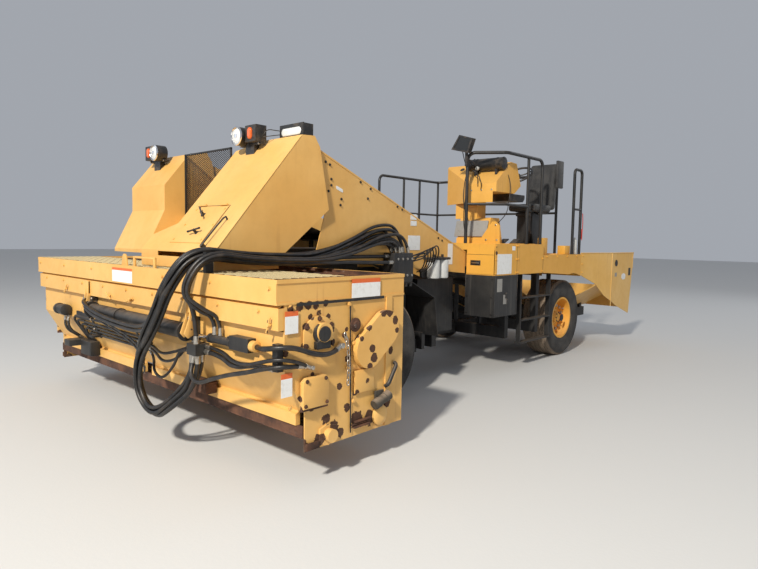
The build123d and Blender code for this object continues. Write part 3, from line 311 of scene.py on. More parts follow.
def tyre_rubber(name, axle_y):
    """Rubber with a dusty tread, ringed side walls and brown in the grooves."""
    material, g, point = new_material(name)
    x, y, z = g.parts(point)
    reach = ((y - axle_y) ** 2.0 + (z - AXLE_Z) ** 2.0) ** 0.5
    base = paint("rubber")
    tread = reach.ramp(*TREAD_R)
    speck = g.noise(point, 90.0, 4.0, 0.7).ramp(0.35, 0.65)
    shade = g.mix(g.noise(point, 5.0, 5.0, 0.6).ramp(0.3, 0.7), base, (0.060, 0.056, 0.052, 1.0))
    shade = g.mix(tread * (0.35 + 0.45 * speck), shade, paint("dust"))
    ring = (reach * 300.0).sine().ramp(0.2, 0.9) * (1.0 - tread)
    shade = g.mix(ring * 0.10, shade, (0.10, 0.095, 0.09, 1.0))
    crack = g.noise(point, 160.0, 3.0)
    g.surface(shade, 0.80 + 0.1 * speck, ring * 0.0008 + crack * 0.0006)
    return material


def rubber(name, base, dust=0.15, rough=0.55, weave=0.0):
    """Hose and belt rubber, with a light film of dust."""
    material, g, point = new_material(name)
    film = g.noise(point, 11.0, 5.0, 0.7).ramp(0.42, 0.72) * dust
    shade = g.mix(film, base, paint("dust"))
    height = g.noise(point, 210.0, 2.0) * 0.0003
    if weave:
        height = height + g.cells(point, 1.0 / weave) * 0.0004
    g.surface(shade, rough + 0.3 * film, height)
    return material


def metal(name, base, rough, spotty):
    """Bright or plated metal, dulled in spots."""
    material, g, point = new_material(name)
    dull = g.noise(point, 24.0, 6.0, 0.65).ramp(0.45, 0.72) * spotty
    shade = g.mix(dull, base, (0.20, 0.15, 0.11, 1.0))
    g.surface(shade, rough + 0.45 * dull, g.noise(point, 150.0, 2.0) * 0.0002, Metallic=1.0)
    return material


def lens(name, base):
    """A ribbed lamp lens."""
    material, g, point = new_material(name)
    x, y, z = g.parts(point)
    rib = (x * 420.0).sine() * (z * 420.0).sine()
    shade = g.mix(g.noise(point, 40.0, 3.0) * 0.35, base, toned(base, 0.5, 0.45, 0.45))
    g.surface(shade, 0.16 + 0.1 * g.noise(point, 90.0), rib * 0.0002, Coat_Weight=0.6)
    return material


def blank_plate(name, base):
    """A plate with nothing on it, weathered towards its edges."""
    material, g, point = new_material(name)
    stain = g.noise(point, 24.0, 6.0, 0.7).ramp(0.46, 0.80)
    shade = g.mix(stain * 0.55, base, toned(base, 0.62, 0.57, 0.5))
    g.surface(shade, 0.42 + 0.2 * stain, g.noise(point, 300.0) * 0.0001)
    return material


def seat_cover(name):
    """Black woven vinyl, greyed where it is sat on."""
    material, g, point = new_material(name)
    x, y, z = g.parts(point)
    thread = ((x + y) * 1500.0).sine() * ((z - y) * 1500.0).sine()
    worn = g.noise(point, 7.0, 4.0).ramp(0.4, 0.7)
    shade = g.mix(worn * 0.6, (0.013, 0.013, 0.014, 1.0), (0.062, 0.060, 0.058, 1.0))
    shade = g.mix(thread.ramp(0.0, 1.0) * 0.25, shade, (0.09, 0.09, 0.09, 1.0))
    g.surface(shade, 0.62 + 0.15 * worn, thread * 0.0003 + g.noise(point, 30.0, 4.0) * 0.0015,
              Sheen_Weight=0.15)
    return material


# Where the end plates have rusted: y, z, reach; then the same on the chain guard
RUST_SPOTS = ((-3.70, 0.27, 0.10), (-3.62, 0.25, 0.06), (-3.55, 0.30, 0.07), (-3.42, 0.36, 0.07),
              (-3.49, 0.42, 0.06), (-3.36, 0.30, 0.06), (-3.695, 0.93, 0.035), (-3.675, 1.05, 0.04),
              (-3.63, 1.115, 0.035), (-3.56, 1.13, 0.04), (-3.48, 1.10, 0.035), (-3.445, 1.02, 0.035),
              (-3.44, 0.93, 0.04), (-3.37, 0.62, 0.04), (-3.30, 0.46, 0.05), (-3.30, 0.80, 0.04),
              (-3.31, 1.00, 0.03), (-3.79, 1.17, 0.04), (-3.72, 1.18, 0.05), (-3.65, 1.185, 0.05),
              (-3.58, 1.18, 0.045), (-3.50, 1.19, 0.04), (-3.71, 0.60, 0.035), (-3.505, 0.66, 0.04),
              (-3.61, 0.74, 0.03), (-3.70, 0.53, 0.05), (-3.62, 0.52, 0.04), (-3.83, 0.90, 0.04),
              (-3.85, 0.36, 0.05), (-3.20, 0.36, 0.09), (-3.08, 0.34, 0.09), (-2.98, 0.33, 0.10),
              (-2.90, 0.42, 0.06), (-3.22, 0.55, 0.04), (-3.12, 0.62, 0.035), (-2.86, 0.80, 0.05),
              (-3.20, 0.92, 0.05))
GUARD_SPOTS = ((-2.93, 1.09, 0.055), (-2.99, 1.09, 0.045), (-2.87, 1.03, 0.05), (-2.85, 0.95, 0.035),
               (-3.09, 0.78, 0.055), (-3.11, 0.85, 0.045), (-3.13, 0.73, 0.04), (-3.14, 1.00, 0.040),
               (-3.21, 0.93, 0.030))

# Rusted places elsewhere: x, y, z, reach
BOX_SPOTS = ((1.26, -0.19, 1.54, 0.05), (1.29, -0.19, 1.47, 0.04), (0.87, -0.22, 1.40, 0.05))
FRONT_SPOTS = ((1.95, -3.90, 1.09, 0.030), (1.98, -3.90, 1.03, 0.026), (0.9, -3.9, 0.55, 0.07),
               (1.1, -3.9, 0.95, 0.04))
END_X, GUARD_X = 2.060, 2.102


def make_finishes():
    """Every finish, by a short name."""
    body, deck, black = paint("body"), paint("deck"), paint("black")
    pale = (0.80, 0.49, 0.16, 1.0)
    end_spots = [(side * END_X, *spot) for side in (1, -1) for spot in RUST_SPOTS]
    end_spots += [(GUARD_X, *spot) for spot in GUARD_SPOTS]
    return {
        "yellow": painted_steel("faded_yellow", body, pale, wear=0.10, dust=0.10, spots=FRONT_SPOTS),
        "hood": painted_steel("hood_yellow", body, pale, wear=0.05, dust=0.12, streak=0.25),
        "end": painted_steel("end_plate_yellow", body, pale, wear=0.30, dust=0.20, streak=0.8,
                             spots=end_spots, low=0.45),
        "deck": painted_steel("deck_yellow", deck, (0.78, 0.42, 0.09, 1.0), wear=0.12, dust=0.12, streak=0.5,
                              spots=BOX_SPOTS),
        "tub": painted_steel("hopper_yellow", (0.74, 0.42, 0.09, 1.0), (0.80, 0.50, 0.16, 1.0), wear=0.2,
                             dust=0.35, streak=0.4, low=0.4),
        "rim": painted_steel("rim_yellow", paint("rim"), (0.86, 0.45, 0.09, 1.0), wear=0.8, dust=0.3,
                             streak=0.4),
        "black": black_steel("black_paint", black, wear=0.2, dust=0.22),
        "rail": black_steel("rail_black", black, wear=0.15, dust=0.15, rough=0.38),
        "box": black_steel("tool_box_black", (0.014, 0.014, 0.015, 1.0), wear=0.3, dust=0.75, rough=0.55),
        "engine": black_steel("engine_grime", (0.05, 0.042, 0.03, 1.0), wear=0.5, dust=0.6, rough=0.7),
        "steel": bare_steel("worn_steel"),
        "greasy": bare_steel("greasy_steel", 0.3, 0.75),
        "strip": bare_steel("wear_strip_rust", 0.05),
        "belt": rubber("belt_rubber", (0.035, 0.033, 0.032, 1.0), 0.5, 0.7),
        "hose": rubber("hose_rubber", (0.009, 0.009, 0.010, 1.0), 0.09, 0.40, 0.004),
        "cable": rubber("cable_sheath", (0.012, 0.012, 0.013, 1.0), 0.12, 0.4),
        "plastic": rubber("black_plastic", (0.014, 0.014, 0.015, 1.0), 0.18, 0.42),
        "chrome": metal("lamp_chrome", (0.80, 0.80, 0.82, 1.0), 0.14, 0.05),
        "zinc": metal("zinc_fitting", (0.50, 0.47, 0.42, 1.0), 0.35, 0.5),
        "amber": lens("amber_lens", paint("amber")),
        "clear": lens("clear_lens", (0.74, 0.76, 0.74, 1.0)),
        "plate": blank_plate("blank_plate", paint("plate")),
        "orange": blank_plate("orange_strip", (0.72, 0.14, 0.03, 1.0)),
        "white": blank_plate("filter_white", (0.52, 0.53, 0.52, 1.0)),
        "grey": blank_plate("grey_panel", (0.30, 0.29, 0.27, 1.0)),
        "grate": blank_plate("grate_wire", (0.62, 0.52, 0.30, 1.0)),
        "glass": blank_plate("dark_glass", (0.012, 0.014, 0.016, 1.0)),
        "seat": seat_cover("seat_cover"),
        "red": blank_plate("red_strap", (0.45, 0.03, 0.02, 1.0)),
    }


NODE_FINISH = {
    "yellow_paint": "yellow", "deck_yellow": "deck", "black_paint": "black", "black_plastic": "plastic",
    "worn_steel": "steel", "engine_paint": "engine", "white_paint": "white", "belt_rubber": "belt",
    "rim_paint": "rim", "seat_vinyl": "seat", "hose_rubber": "hose",
}
SPECIAL_FINISH = {
    "hood_left": "hood", "hood_right": "hood", "hood_hatch": "hood", "hopper_ends": "end",
                  "receiving_hopper": "tub",
    "handrails_left": "rail", "handrail_right": "rail", "tool_box": "box", "tool_box_door": "box",
    "wear_strip": "strip", "end_bearings": "end", "spread_roll": "greasy", "lamps": "plastic",
}
FINISH = {}


# Shapes in mesh code
def circle(radius, count):
    """Points of a circle, as pairs."""
    return [(radius * math.cos(TAU * k / count), radius * math.sin(TAU * k / count)) for k in range(count)]


def facing(place, aim):
    """Moves the origin to a place and turns Z along an aim."""
    turn = Vector(aim).normalized().to_track_quat("Z", "Y").to_matrix()
    return Matrix.Translation(Vector(place)) @ turn.to_4x4()


def bridge(bm, one, two):
    """Faces between two closed rings."""
    for k in range(len(one)):
        j = (k + 1) % len(one)
        corners = list(dict.fromkeys((one[k], one[j], two[j], two[k])))
        if len(corners) > 2:
            bm.faces.new(corners)


class Shape:
    """Collects closed forms into one mesh."""

    def __init__(self):
        self.bm = bmesh.new()

    def add(self, bm, bevel=0.0, turn=None):
        if turn is not None:
            bmesh.ops.transform(bm, matrix=turn, verts=bm.verts)
        bmesh.ops.recalc_face_normals(bm, faces=bm.faces)
        if bevel:
            edges = [e for e in bm.edges if len(e.link_faces) == 2 and e.calc_face_angle(0.0) > 0.5]
            bmesh.ops.bevel(bm, geom=edges, offset=bevel, segments=2, profile=0.5, affect="EDGES",
                            clamp_overlap=True)
        keep = bpy.data.meshes.new("scrap")
        bm.to_mesh(keep)
        bm.free()
        self.bm.from_mesh(keep)
        bpy.data.meshes.remove(keep)
        return self

    def box(self, low, high, bevel=0.002, turn=None):
        bm = bmesh.new()
        for v in bmesh.ops.create_cube(bm, size=1.0)["verts"]:
            v.co = Vector([low[i] + (v.co[i] + 0.5) * (high[i] - low[i]) for i in range(3)])
        return self.add(bm, bevel, turn)

    def prism(self, outline, axis, start, end, bevel=0.002):
        """A flat outline in the two axes other than axis, drawn from start to end along axis."""
        bm = bmesh.new()
        rings = []
        for level in (start, end):
            places = [[*pair[:axis], level, *pair[axis:]] for pair in outline]
            rings.append([bm.verts.new(place) for place in places])
        bm.faces.new(rings[0])
        bm.faces.new(rings[1][::-1])
        bridge(bm, *rings)
        return self.add(bm, bevel)

    def lathe(self, profile, origin, aim, sides=32, bevel=0.0):
        """Profile of (radius, distance) turned about a line from origin towards aim."""
        bm = bmesh.new()
        rings = []
        for radius, along in profile:
            if radius < 1e-6:
                rings.append([bm.verts.new((0, 0, along))] * sides)
            else:
                rings.append([bm.verts.new((x, y, along)) for x, y in circle(radius, sides)])
        for one, two in zip(rings, rings[1:]):
            bridge(bm, one, two)
        for ring in (rings[0], rings[-1]):
            if ring[0] is not ring[1] and rings[0][0].co.z != rings[-1][0].co.z:
                bm.faces.new(ring)
        return self.add(bm, bevel, facing(origin, aim))

    def rod(self, start, end, radius, sides):
        start, end = Vector(start), Vector(end)
        length = (end - start).length
        return self.lathe([(radius, 0.0), (radius, length)], start, end - start, sides)

    def collar(self, inner, outer, wide, place, aim=(1, 0, 0), sides=32):
        """A band with chamfered edges."""
        edge = 0.002
        profile = [(inner, 0.0), (outer, edge), (outer, wide - edge), (inner, wide)]
        return self.lathe(profile, place, aim, sides)

    def ring(self, centre, aim, radius, wire, sides=28, facets=8):
        bm = bmesh.new()
        loops = [[bm.verts.new((x, y, height)) for x, y in circle(radius + out, sides)]
                 for out, height in circle(wire, facets)]
        for one, two in zip(loops, loops[1:] + loops[:1]):
            bridge(bm, one, two)
        return self.add(bm, turn=facing(centre, aim))

    def tube(self, points, radius, sides=8, steps=4, closed=False):
        """A round bar along a smooth line through its points, or along straight runs with steps=1."""
        spots = [Vector(place) for place in points]
        count = len(spots)
        line = []
        for i in range(count if closed else count - 1):
            before = spots[(i - 1) % count] if closed or i else spots[0]
            one, two = spots[i], spots[(i + 1) % count]
            after = spots[(i + 2) % count] if closed or i + 2 < count else spots[-1]
            for k in range(steps):
                t = k / steps
                bend = 2 * before - 5 * one + 4 * two - after
                line.append(0.5 * (2 * one + (two - before) * t + bend * t ** 2
                                   + (3 * one - before - 3 * two + after) * t ** 3))
        if not closed:
            line.append(spots[-1])
        total = len(line)
        bm = bmesh.new()
        side = None
        rings = []
        for i, spot in enumerate(line):
            after = line[(i + 1) % total if closed else min(i + 1, total - 1)]
            ahead = after - line[i - 1 if closed else max(i - 1, 0)]
            ahead.normalize()
            if side is None:
                side = ahead.orthogonal().normalized()
            side = (side - ahead * side.dot(ahead)).normalized()
            up = ahead.cross(side)
            ring = [spot + side * across + up * above for across, above in circle(radius, sides)]
            rings.append([bm.verts.new(place) for place in ring])
        for i in range(total if closed else total - 1):
            bridge(bm, rings[i], rings[(i + 1) % total])
        if not closed:
            bm.faces.new(rings[0])
            bm.faces.new(rings[-1])
        return self.add(bm)

    def slab(self, outline, x0, x1, bevel=0.002):
        """An outline of (y, z) between two x planes."""
        return self.prism(outline, 0, x0, x1, bevel)

    def piece(self, name, finish, body=CHASSIS, smooth=35.0):
        mesh = bpy.data.meshes.new(name)
        bmesh.ops.remove_doubles(self.bm, verts=self.bm.verts, dist=1e-6)
        self.bm.to_mesh(mesh)
        self.bm.free()
        thing = bpy.data.objects.new(name, mesh)
        bpy.context.scene.collection.objects.link(thing)
        mesh.materials.append(FINISH[finish])
        soften(thing, smooth)
        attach(thing, body)
        return thing


def soften(thing, degrees):
    """Smooth shading that keeps edges sharper than the angle."""
    mesh = thing.data
    mesh.polygons.foreach_set("use_smooth", [True] * len(mesh.polygons))
    mesh.set_sharp_from_angle(angle=math.radians(degrees))


def spline_data(name, points, radius):
    """A smooth curve through control points, with a round section."""
    data = bpy.data.curves.new(name, "CURVE")
    data.dimensions = "3D"
    data.bevel_depth = radius
    data.bevel_resolution = 2
    data.use_fill_caps = True
    data.resolution_u = 8
    spline = data.splines.new("NURBS")
    spline.points.add(len(points) - 1)
    for spot, place in zip(spline.points, points):
        spot.co = (*place, 1.0)
    spline.order_u = 3
    spline.use_endpoint_u = True
    return data


def hose(name, points, diameter, length=None, finish="hose", stiffness="medium", lay="hanging"):
    """A hose on one smooth spline, declared as a cord of fixed length."""
    data = spline_data(name, points, diameter / 2)
    thing = bpy.data.objects.new(name, data)
    bpy.context.scene.collection.objects.link(thing)
    data.materials.append(FINISH[finish])
    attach(thing, CHASSIS)
    length = length or data.splines[0].calc_length()
    return thing


# Repeats are grown by geometry nodes over seeds, and kept as plain meshes
class Seeds:
    """Points that carry an aim and a turn for what grows on them."""

    def __init__(self):
        self.rows = []

    def add(self, place, aim=(0.0, 0.0, 1.0), turn=0.0):
        self.rows.append((tuple(place), tuple(aim), turn))
        return self

    def mesh(self, name):
        mesh = bpy.data.meshes.new(name)
        mesh.from_pydata([place for place, aim, turn in self.rows], [], [])
        aims = mesh.attributes.new("aim", "FLOAT_VECTOR", "POINT")
        aims.data.foreach_set("vector", [value for place, aim, turn in self.rows for value in aim])
        turns = mesh.attributes.new("turn", "FLOAT", "POINT")
        turns.data.foreach_set("value", [turn for place, aim, turn in self.rows])
        return mesh


def grow(name, mesh, make, finish, body=CHASSIS, **numbers):
    """Runs make's geometry tree over a mesh, with its numbers as named inputs, and keeps the result."""
    tree = bpy.data.node_groups.new(name, "GeometryNodeTree")
    g = Graph(tree)
    tree.interface.new_socket("Seeds", in_out="INPUT", socket_type="NodeSocketGeometry")
    for key, value in numbers.items():
        socket = tree.interface.new_socket(key.capitalize(), in_out="INPUT", socket_type="NodeSocketFloat")
        socket.default_value = value
    tree.interface.new_socket("Grown", in_out="OUTPUT", socket_type="NodeSocketGeometry")
    start = tree.nodes.new("NodeGroupInput")
    wires = [Wire(g, socket) for socket in start.outputs][:len(numbers) + 1]
    shape = g.node("GeometryNodeRealizeInstances", None, {0: make(g, *wires)})
    shape = g.node("GeometryNodeSetMaterial", None, {"Geometry": shape, "Material": FINISH[finish]})
    end = tree.nodes.new("NodeGroupOutput")
    tree.links.new(shape.socket, end.inputs[0])
    thing = bpy.data.objects.new(name, mesh)
    bpy.context.scene.collection.objects.link(thing)
    thing.modifiers.new("grow", "NODES").node_group = tree
    grown = bpy.data.meshes.new_from_object(thing.evaluated_get(bpy.context.evaluated_depsgraph_get()))
    thing.modifiers.clear()
    thing.data = grown
    bpy.data.meshes.remove(mesh)
    if not grown.materials:
        grown.materials.append(FINISH[finish])
    soften(thing, 35.0)
    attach(thing, body)
    return thing


def aimed(g, points, form):
    """Stands the form on each point, along its aim."""
    aim = g.node("GeometryNodeInputNamedAttribute", {"data_type": "FLOAT_VECTOR"}, {"Name": "aim"})
    stand = g.node("FunctionNodeAlignRotationToVector", {"axis": "Z"}, {"Vector": aim})
    inputs = {"Points": points, "Instance": form, "Rotation": stand}
    return g.node("GeometryNodeInstanceOnPoints", None, inputs)


def bolt_heads(g, points, width, height):
    """A hexagon head on a washer."""
    def disc(vertices, radius, depth, lift):
        inputs = {"Vertices": vertices, "Radius": radius, "Depth": depth}
        made = g.node("GeometryNodeMeshCylinder", None, inputs)
        inputs = {"Geometry": made, "Translation": g.join(0.0, 0.0, lift)}
        return g.node("GeometryNodeTransform", None, inputs)
    head = disc(6, width * 0.5, height, height * 0.5)
    washer = disc(14, width * 0.66, height * 0.3, height * 0.15)
    return aimed(g, points, g.merge(head, washer))


def bars(g, lines, width, depth):
    """A flat bar along every edge of a wire mesh."""
    section = g.node("GeometryNodeCurvePrimitiveQuadrilateral", None, {"Width": width, "Height": depth})
    path = g.node("GeometryNodeMeshToCurve", None, {"Mesh": lines})
    inputs = {"Curve": path, "Profile Curve": section, "Fill Caps": True}
    return g.node("GeometryNodeCurveToMesh", None, inputs)


def tread_blocks(g, points, width, length, height):
    """A block turned about the wheel's axle."""
    turn = g.node("GeometryNodeInputNamedAttribute", {"data_type": "FLOAT"}, {"Name": "turn"})
    stand = g.node("FunctionNodeEulerToRotation", None, {"Euler": g.join(turn, 0.0, 0.0)})
    block = g.node("GeometryNodeMeshCube", None, {"Size": g.join(width, length, height)})
    inputs = {"Points": points, "Instance": block, "Rotation": stand}
    return g.node("GeometryNodeInstanceOnPoints", None, inputs)


def chain_links(g, points, pitch, wire):
    """An oval link along each point's aim, every other one a quarter turn on."""
    aim = g.node("GeometryNodeInputNamedAttribute", {"data_type": "FLOAT_VECTOR"}, {"Name": "aim"})
    turn = g.node("GeometryNodeInputNamedAttribute", {"data_type": "FLOAT"}, {"Name": "turn"})
    line = g.node("GeometryNodeCurvePrimitiveCircle", None, {"Resolution": 20, "Radius": pitch * 0.34})
    round_wire = g.node("GeometryNodeCurvePrimitiveCircle", None, {"Resolution": 8, "Radius": wire})
    link = g.node("GeometryNodeTransform", None, {"Geometry": line, "Scale": g.join(1.95, 1.0, 1.0)})
    link = g.node("GeometryNodeCurveToMesh", None, {"Curve": link, "Profile Curve": round_wire})
    first = g.node("FunctionNodeEulerToRotation", None, {"Euler": g.join(turn, 0.0, 0.0)})
    along = g.node("FunctionNodeAlignRotationToVector", {"axis": "X"}, {"Rotation": first, "Vector": aim})
    inputs = {"Points": points, "Instance": link, "Rotation": along}
    return g.node("GeometryNodeInstanceOnPoints", None, inputs)


def bolts(name, places, aim, finish="black", body=CHASSIS, width=None):
    """Hexagon heads at the places, all along one aim."""
    width = width or sizes().bolt
    seeds = Seeds()
    for place in places:
        seeds.add(place, aim)
    return grow(name, seeds.mesh(name), bolt_heads, finish, body, width=width, height=width * 0.5)


def diamond_mesh(name, corner, across, up, cells):
    """Wire mesh of diamonds in the plane of two cell vectors."""
    corner, across, up = Vector(corner), Vector(across), Vector(up)
    index, places, edges = {}, [], []

    def spot(i, j):
        if (i, j) not in index:
            index[i, j] = len(places)
            places.append(tuple(corner + across * (i / 2) + up * (j / 2)))
        return index[i, j]

    for i in range(2 * cells[0]):
        for j in range(2 * cells[1] + 1):
            for step in (1, -1):
                if (i + j) % 2 == 0 and 0 <= j + step <= 2 * cells[1]:
                    edges.append((spot(i, j), spot(i + 1, j + step)))
    mesh = bpy.data.meshes.new(name)
    mesh.from_pydata(places, edges, [])
    return mesh


def plate(name, corner, across, up, finish="plate", body=CHASSIS, radius=0.0, strip=0.0):
    """A blank plate on a face, from its low corner and its two sides; a strip across its top is orange."""
    across, up = Vector(across), Vector(up)
    normal = across.cross(up).normalized()
    corner = Vector(corner)
    thick = sizes().plate

    def sheet(low, high, finish_name, piece_name):
        outline = []
        if radius:
            for dx, dy in circle(1.0, 20):
                u = 0.5 + (0.5 - radius) * (1 if dx > 0.01 else -1 if dx < -0.01 else 0) + radius * dx
                v = 0.5 + (0.5 - radius) * (1 if dy > 0.01 else -1 if dy < -0.01 else 0) + radius * dy
                outline.append((u, v))
        else:
            outline = [(0, low), (1, low), (1, high), (0, high)]
        bm = bmesh.new()
        lower = [bm.verts.new(corner + across * u + up * v) for u, v in outline]
        upper = [bm.verts.new(corner + across * u + up * v + normal * thick) for u, v in outline]
        bm.faces.new(lower[::-1])
        bm.faces.new(upper)
        bridge(bm, lower, upper)
        Shape().add(bm).piece(piece_name, finish_name, body)

    if strip:
        sheet(0, 1 - strip, finish, name)
        sheet(1 - strip, 1, "orange", name + "_strip")
    else:
        sheet(0, 1, finish, name)


# The photograph's view, from its two vanishing points: degrees, then pixels, then metres
VIEW_TURN, VIEW_TILT, VIEW_ROLL = 42.512, 4.442, 1.0
PHOTO_WIDTH, FOCAL_LENGTH = 758.0, 586.7
VIEW_PLACE = (4.85, -6.05, 1.609)
SENSOR_WIDTH = 36.0


def make_camera():
    """Places the camera where the photograph was taken from."""
    turn, tilt, roll = math.radians(VIEW_TURN), math.radians(VIEW_TILT), math.radians(VIEW_ROLL)
    ahead = Vector((-math.sin(turn) * math.cos(tilt), math.cos(turn) * math.cos(tilt), -math.sin(tilt)))
    right = ahead.cross(Vector((0, 0, 1))).normalized()
    above = right.cross(ahead)
    right, above = (right * math.cos(roll) + above * math.sin(roll),
                    above * math.cos(roll) - right * math.sin(roll))
    data = bpy.data.cameras.new("photo_camera")
    data.sensor_width = SENSOR_WIDTH
    data.lens = SENSOR_WIDTH * FOCAL_LENGTH / PHOTO_WIDTH
    thing = bpy.data.objects.new("photo_camera", data)
    axes = Matrix((right, above, -ahead)).transposed()
    thing.matrix_world = Matrix.Translation(VIEW_PLACE) @ axes.to_4x4()
    bpy.context.scene.collection.objects.link(thing)
    bpy.context.scene.camera = thing


def dress_nodes():
    """Makes the finishes and gives every node of the frame its own."""
    FINISH.update(make_finishes())
    slots = {row["node"]: row["material_slot"] for row in frame["record"]["subparts"]}
    for name, thing in frame["nodes"].items():
        if name.startswith("tyre_"):
            low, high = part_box(name)
            FINISH["rubber_" + name] = tyre_rubber("rubber_" + name, (low.y + high.y) / 2)
            finish = "rubber_" + name
        else:
            finish = SPECIAL_FINISH.get(name) or NODE_FINISH.get(slots[name])
        thing.data.materials.clear()
        thing.data.materials.append(FINISH[finish])


# Hydraulic hoses: the three of the frame repeat its routes, and the others run beside them
MANIFOLD_Y = -3.862
LOOP = [(1.116, -1.8504, 1.445), (1.116, -2.090, 1.445), (1.152, -2.470, 1.447), (1.205, -2.860, 1.412),
        (1.270, -3.240, 1.410), (1.245, -3.600, 1.425), (1.160, -3.925, 1.475), (1.075, -4.055, 1.250),
        (0.930, -4.060, 1.030), (0.740, -4.050, 0.850), (0.570, -4.040, 0.660), (0.560, -4.030, 0.420),
        (0.760, -4.015, 0.290), (0.985, -4.000, 0.395), (1.150, MANIFOLD_Y, 0.590),
        (1.150, MANIFOLD_Y, 0.7746)]
DROP = [(1.168, -1.8504, 1.390), (1.168, -2.100, 1.390), (1.215, -2.480, 1.405), (1.300, -2.860, 1.405),
        (1.370, -3.240, 1.410), (1.385, -3.600, 1.425), (1.330, -3.935, 1.480), (1.260, -4.060, 1.240),
        (1.185, -3.925, 1.060), (1.185, -3.925, 0.8554)]
FRAME_HOSES = {
    "hose_loop": (4.26, LOOP),
    "hose_drop": (2.77, DROP),
    "hose_end": (0.79, [(1.2104, -3.866, 0.800), (1.400, -3.866, 0.800), (1.600, -3.900, 0.750),
                        (1.800, -3.866, 0.800), (1.9896, -3.866, 0.800)]),
}


def beside(route, across, above, start, end):
    """Part of a route, moved sideways in a frame that turns with it."""
    spots = [Vector(place) for place in route]
    side = Vector((1, 0, 0))
    moved = []
    for i, spot in enumerate(spots):
        ahead = (spots[min(i + 1, len(spots) - 1)] - spots[max(i - 1, 0)]).normalized()
        side = (side - ahead * side.dot(ahead)).normalized()
        moved.append(tuple(spot + side * across + ahead.cross(side) * above))
    return moved[start:end]


VALVE_TOP, VALVE_BACK = 1.4804, -1.5605
TANGLE = 6
RUN = [(0.740, -4.045, 0.930), (0.480, -4.010, 0.868), (0.120, -3.992, 0.862), (-0.300, -3.992, 0.888),
       (-0.600, -3.985, 0.940), (-0.745, -3.930, 0.975), (-0.765, -3.868, 0.9996)]
RUN_ABOVE = [(x, y - 0.004, z + 0.034) for x, y, z in RUN[:-2]]
RUN_ABOVE += [(-0.790, -3.935, 1.005), (-0.800, -3.868, 0.9996)]
# Name, diameter, points before the bundle, route, across, above, first and last point of it, points after it
BUNDLE = [
    ("loop_b", 0.034, [(1.080, -1.700, VALVE_TOP), (1.080, -1.750, 1.640), (1.090, -2.000, 1.650),
                       (1.120, -2.300, 1.545)],
     LOOP, 0.038, -0.004, 3, 13, [(0.960, -3.985, 0.440), (1.047, -3.859, 0.640), (1.047, -3.859, 0.8596)]),
    ("loop_c", 0.034, [(1.120, -1.640, VALVE_TOP), (1.120, -1.690, 1.690), (1.115, -2.000, 1.705),
                       (1.135, -2.330, 1.575)],
     LOOP, 0.019, 0.033, 3, 13, [(0.975, -4.015, 0.410), (1.112, -3.918, 0.560), (1.112, -3.918, 0.7746)]),
    ("loop_d", 0.034, [(1.155, -1.700, VALVE_TOP), (1.155, -1.750, 1.610), (1.150, -2.000, 1.610),
                       (1.165, -2.330, 1.520)],
     LOOP, -0.019, 0.033, 3, 13, [(1.010, -4.035, 0.375), (1.189, -3.918, 0.560), (1.189, -3.918, 0.7746)]),
    ("loop_e", 0.030, [(1.100, -1.790, VALVE_TOP), (1.100, -1.830, 1.580), (1.120, -2.100, 1.575),
                       (1.140, -2.400, 1.510)],
     LOOP, 0.057, 0.030, 3, 10, [(0.520, -4.030, 0.700), (0.400, -3.960, 0.800), (0.3006, -3.8475, 0.810)]),
    ("loop_f", 0.026, [(1.150, -1.780, VALVE_TOP), (1.150, -1.830, 1.560), (1.165, -2.080, 1.565),
                       (1.175, -2.400, 1.500)],
     LOOP, 0.000, 0.064, 3, 10, [(0.560, -4.060, 0.640), (0.420, -3.990, 0.730), (0.3006, -3.8475, 0.772)]),
    ("run_a", 0.030, [(1.080, -1.610, VALVE_TOP), (1.080, -1.660, 1.740), (1.085, -2.000, 1.745),
                      (1.125, -2.330, 1.610)],
     LOOP, 0.038, 0.062, 3, 8, RUN),
    ("run_b", 0.030, [(1.062, -1.740, VALVE_TOP), (1.062, -1.790, 1.700), (1.080, -2.030, 1.690),
                      (1.108, -2.330, 1.585)],
     LOOP, -0.038, 0.064, 3, 8, RUN_ABOVE),
    ("drop_b", 0.030, [(1.170, -1.620, VALVE_TOP), (1.170, -1.670, 1.660), (1.175, -2.000, 1.650),
                       (1.215, -2.400, 1.500)],
     DROP, -0.006, 0.036, 3, 8, [(1.300, -3.975, 1.100), (1.330, -3.868, 1.060), (1.330, -3.868, 0.9334)]),
    ("drop_c", 0.026, [(1.180, -1.760, VALVE_TOP), (1.180, -1.800, 1.590), (1.200, -2.050, 1.580),
                       (1.260, -2.450, 1.480)],
     DROP, 0.034, 0.024, 3, 8, [(1.365, -3.975, 1.120), (1.400, -3.868, 1.060), (1.400, -3.868, 0.9334)]),
]
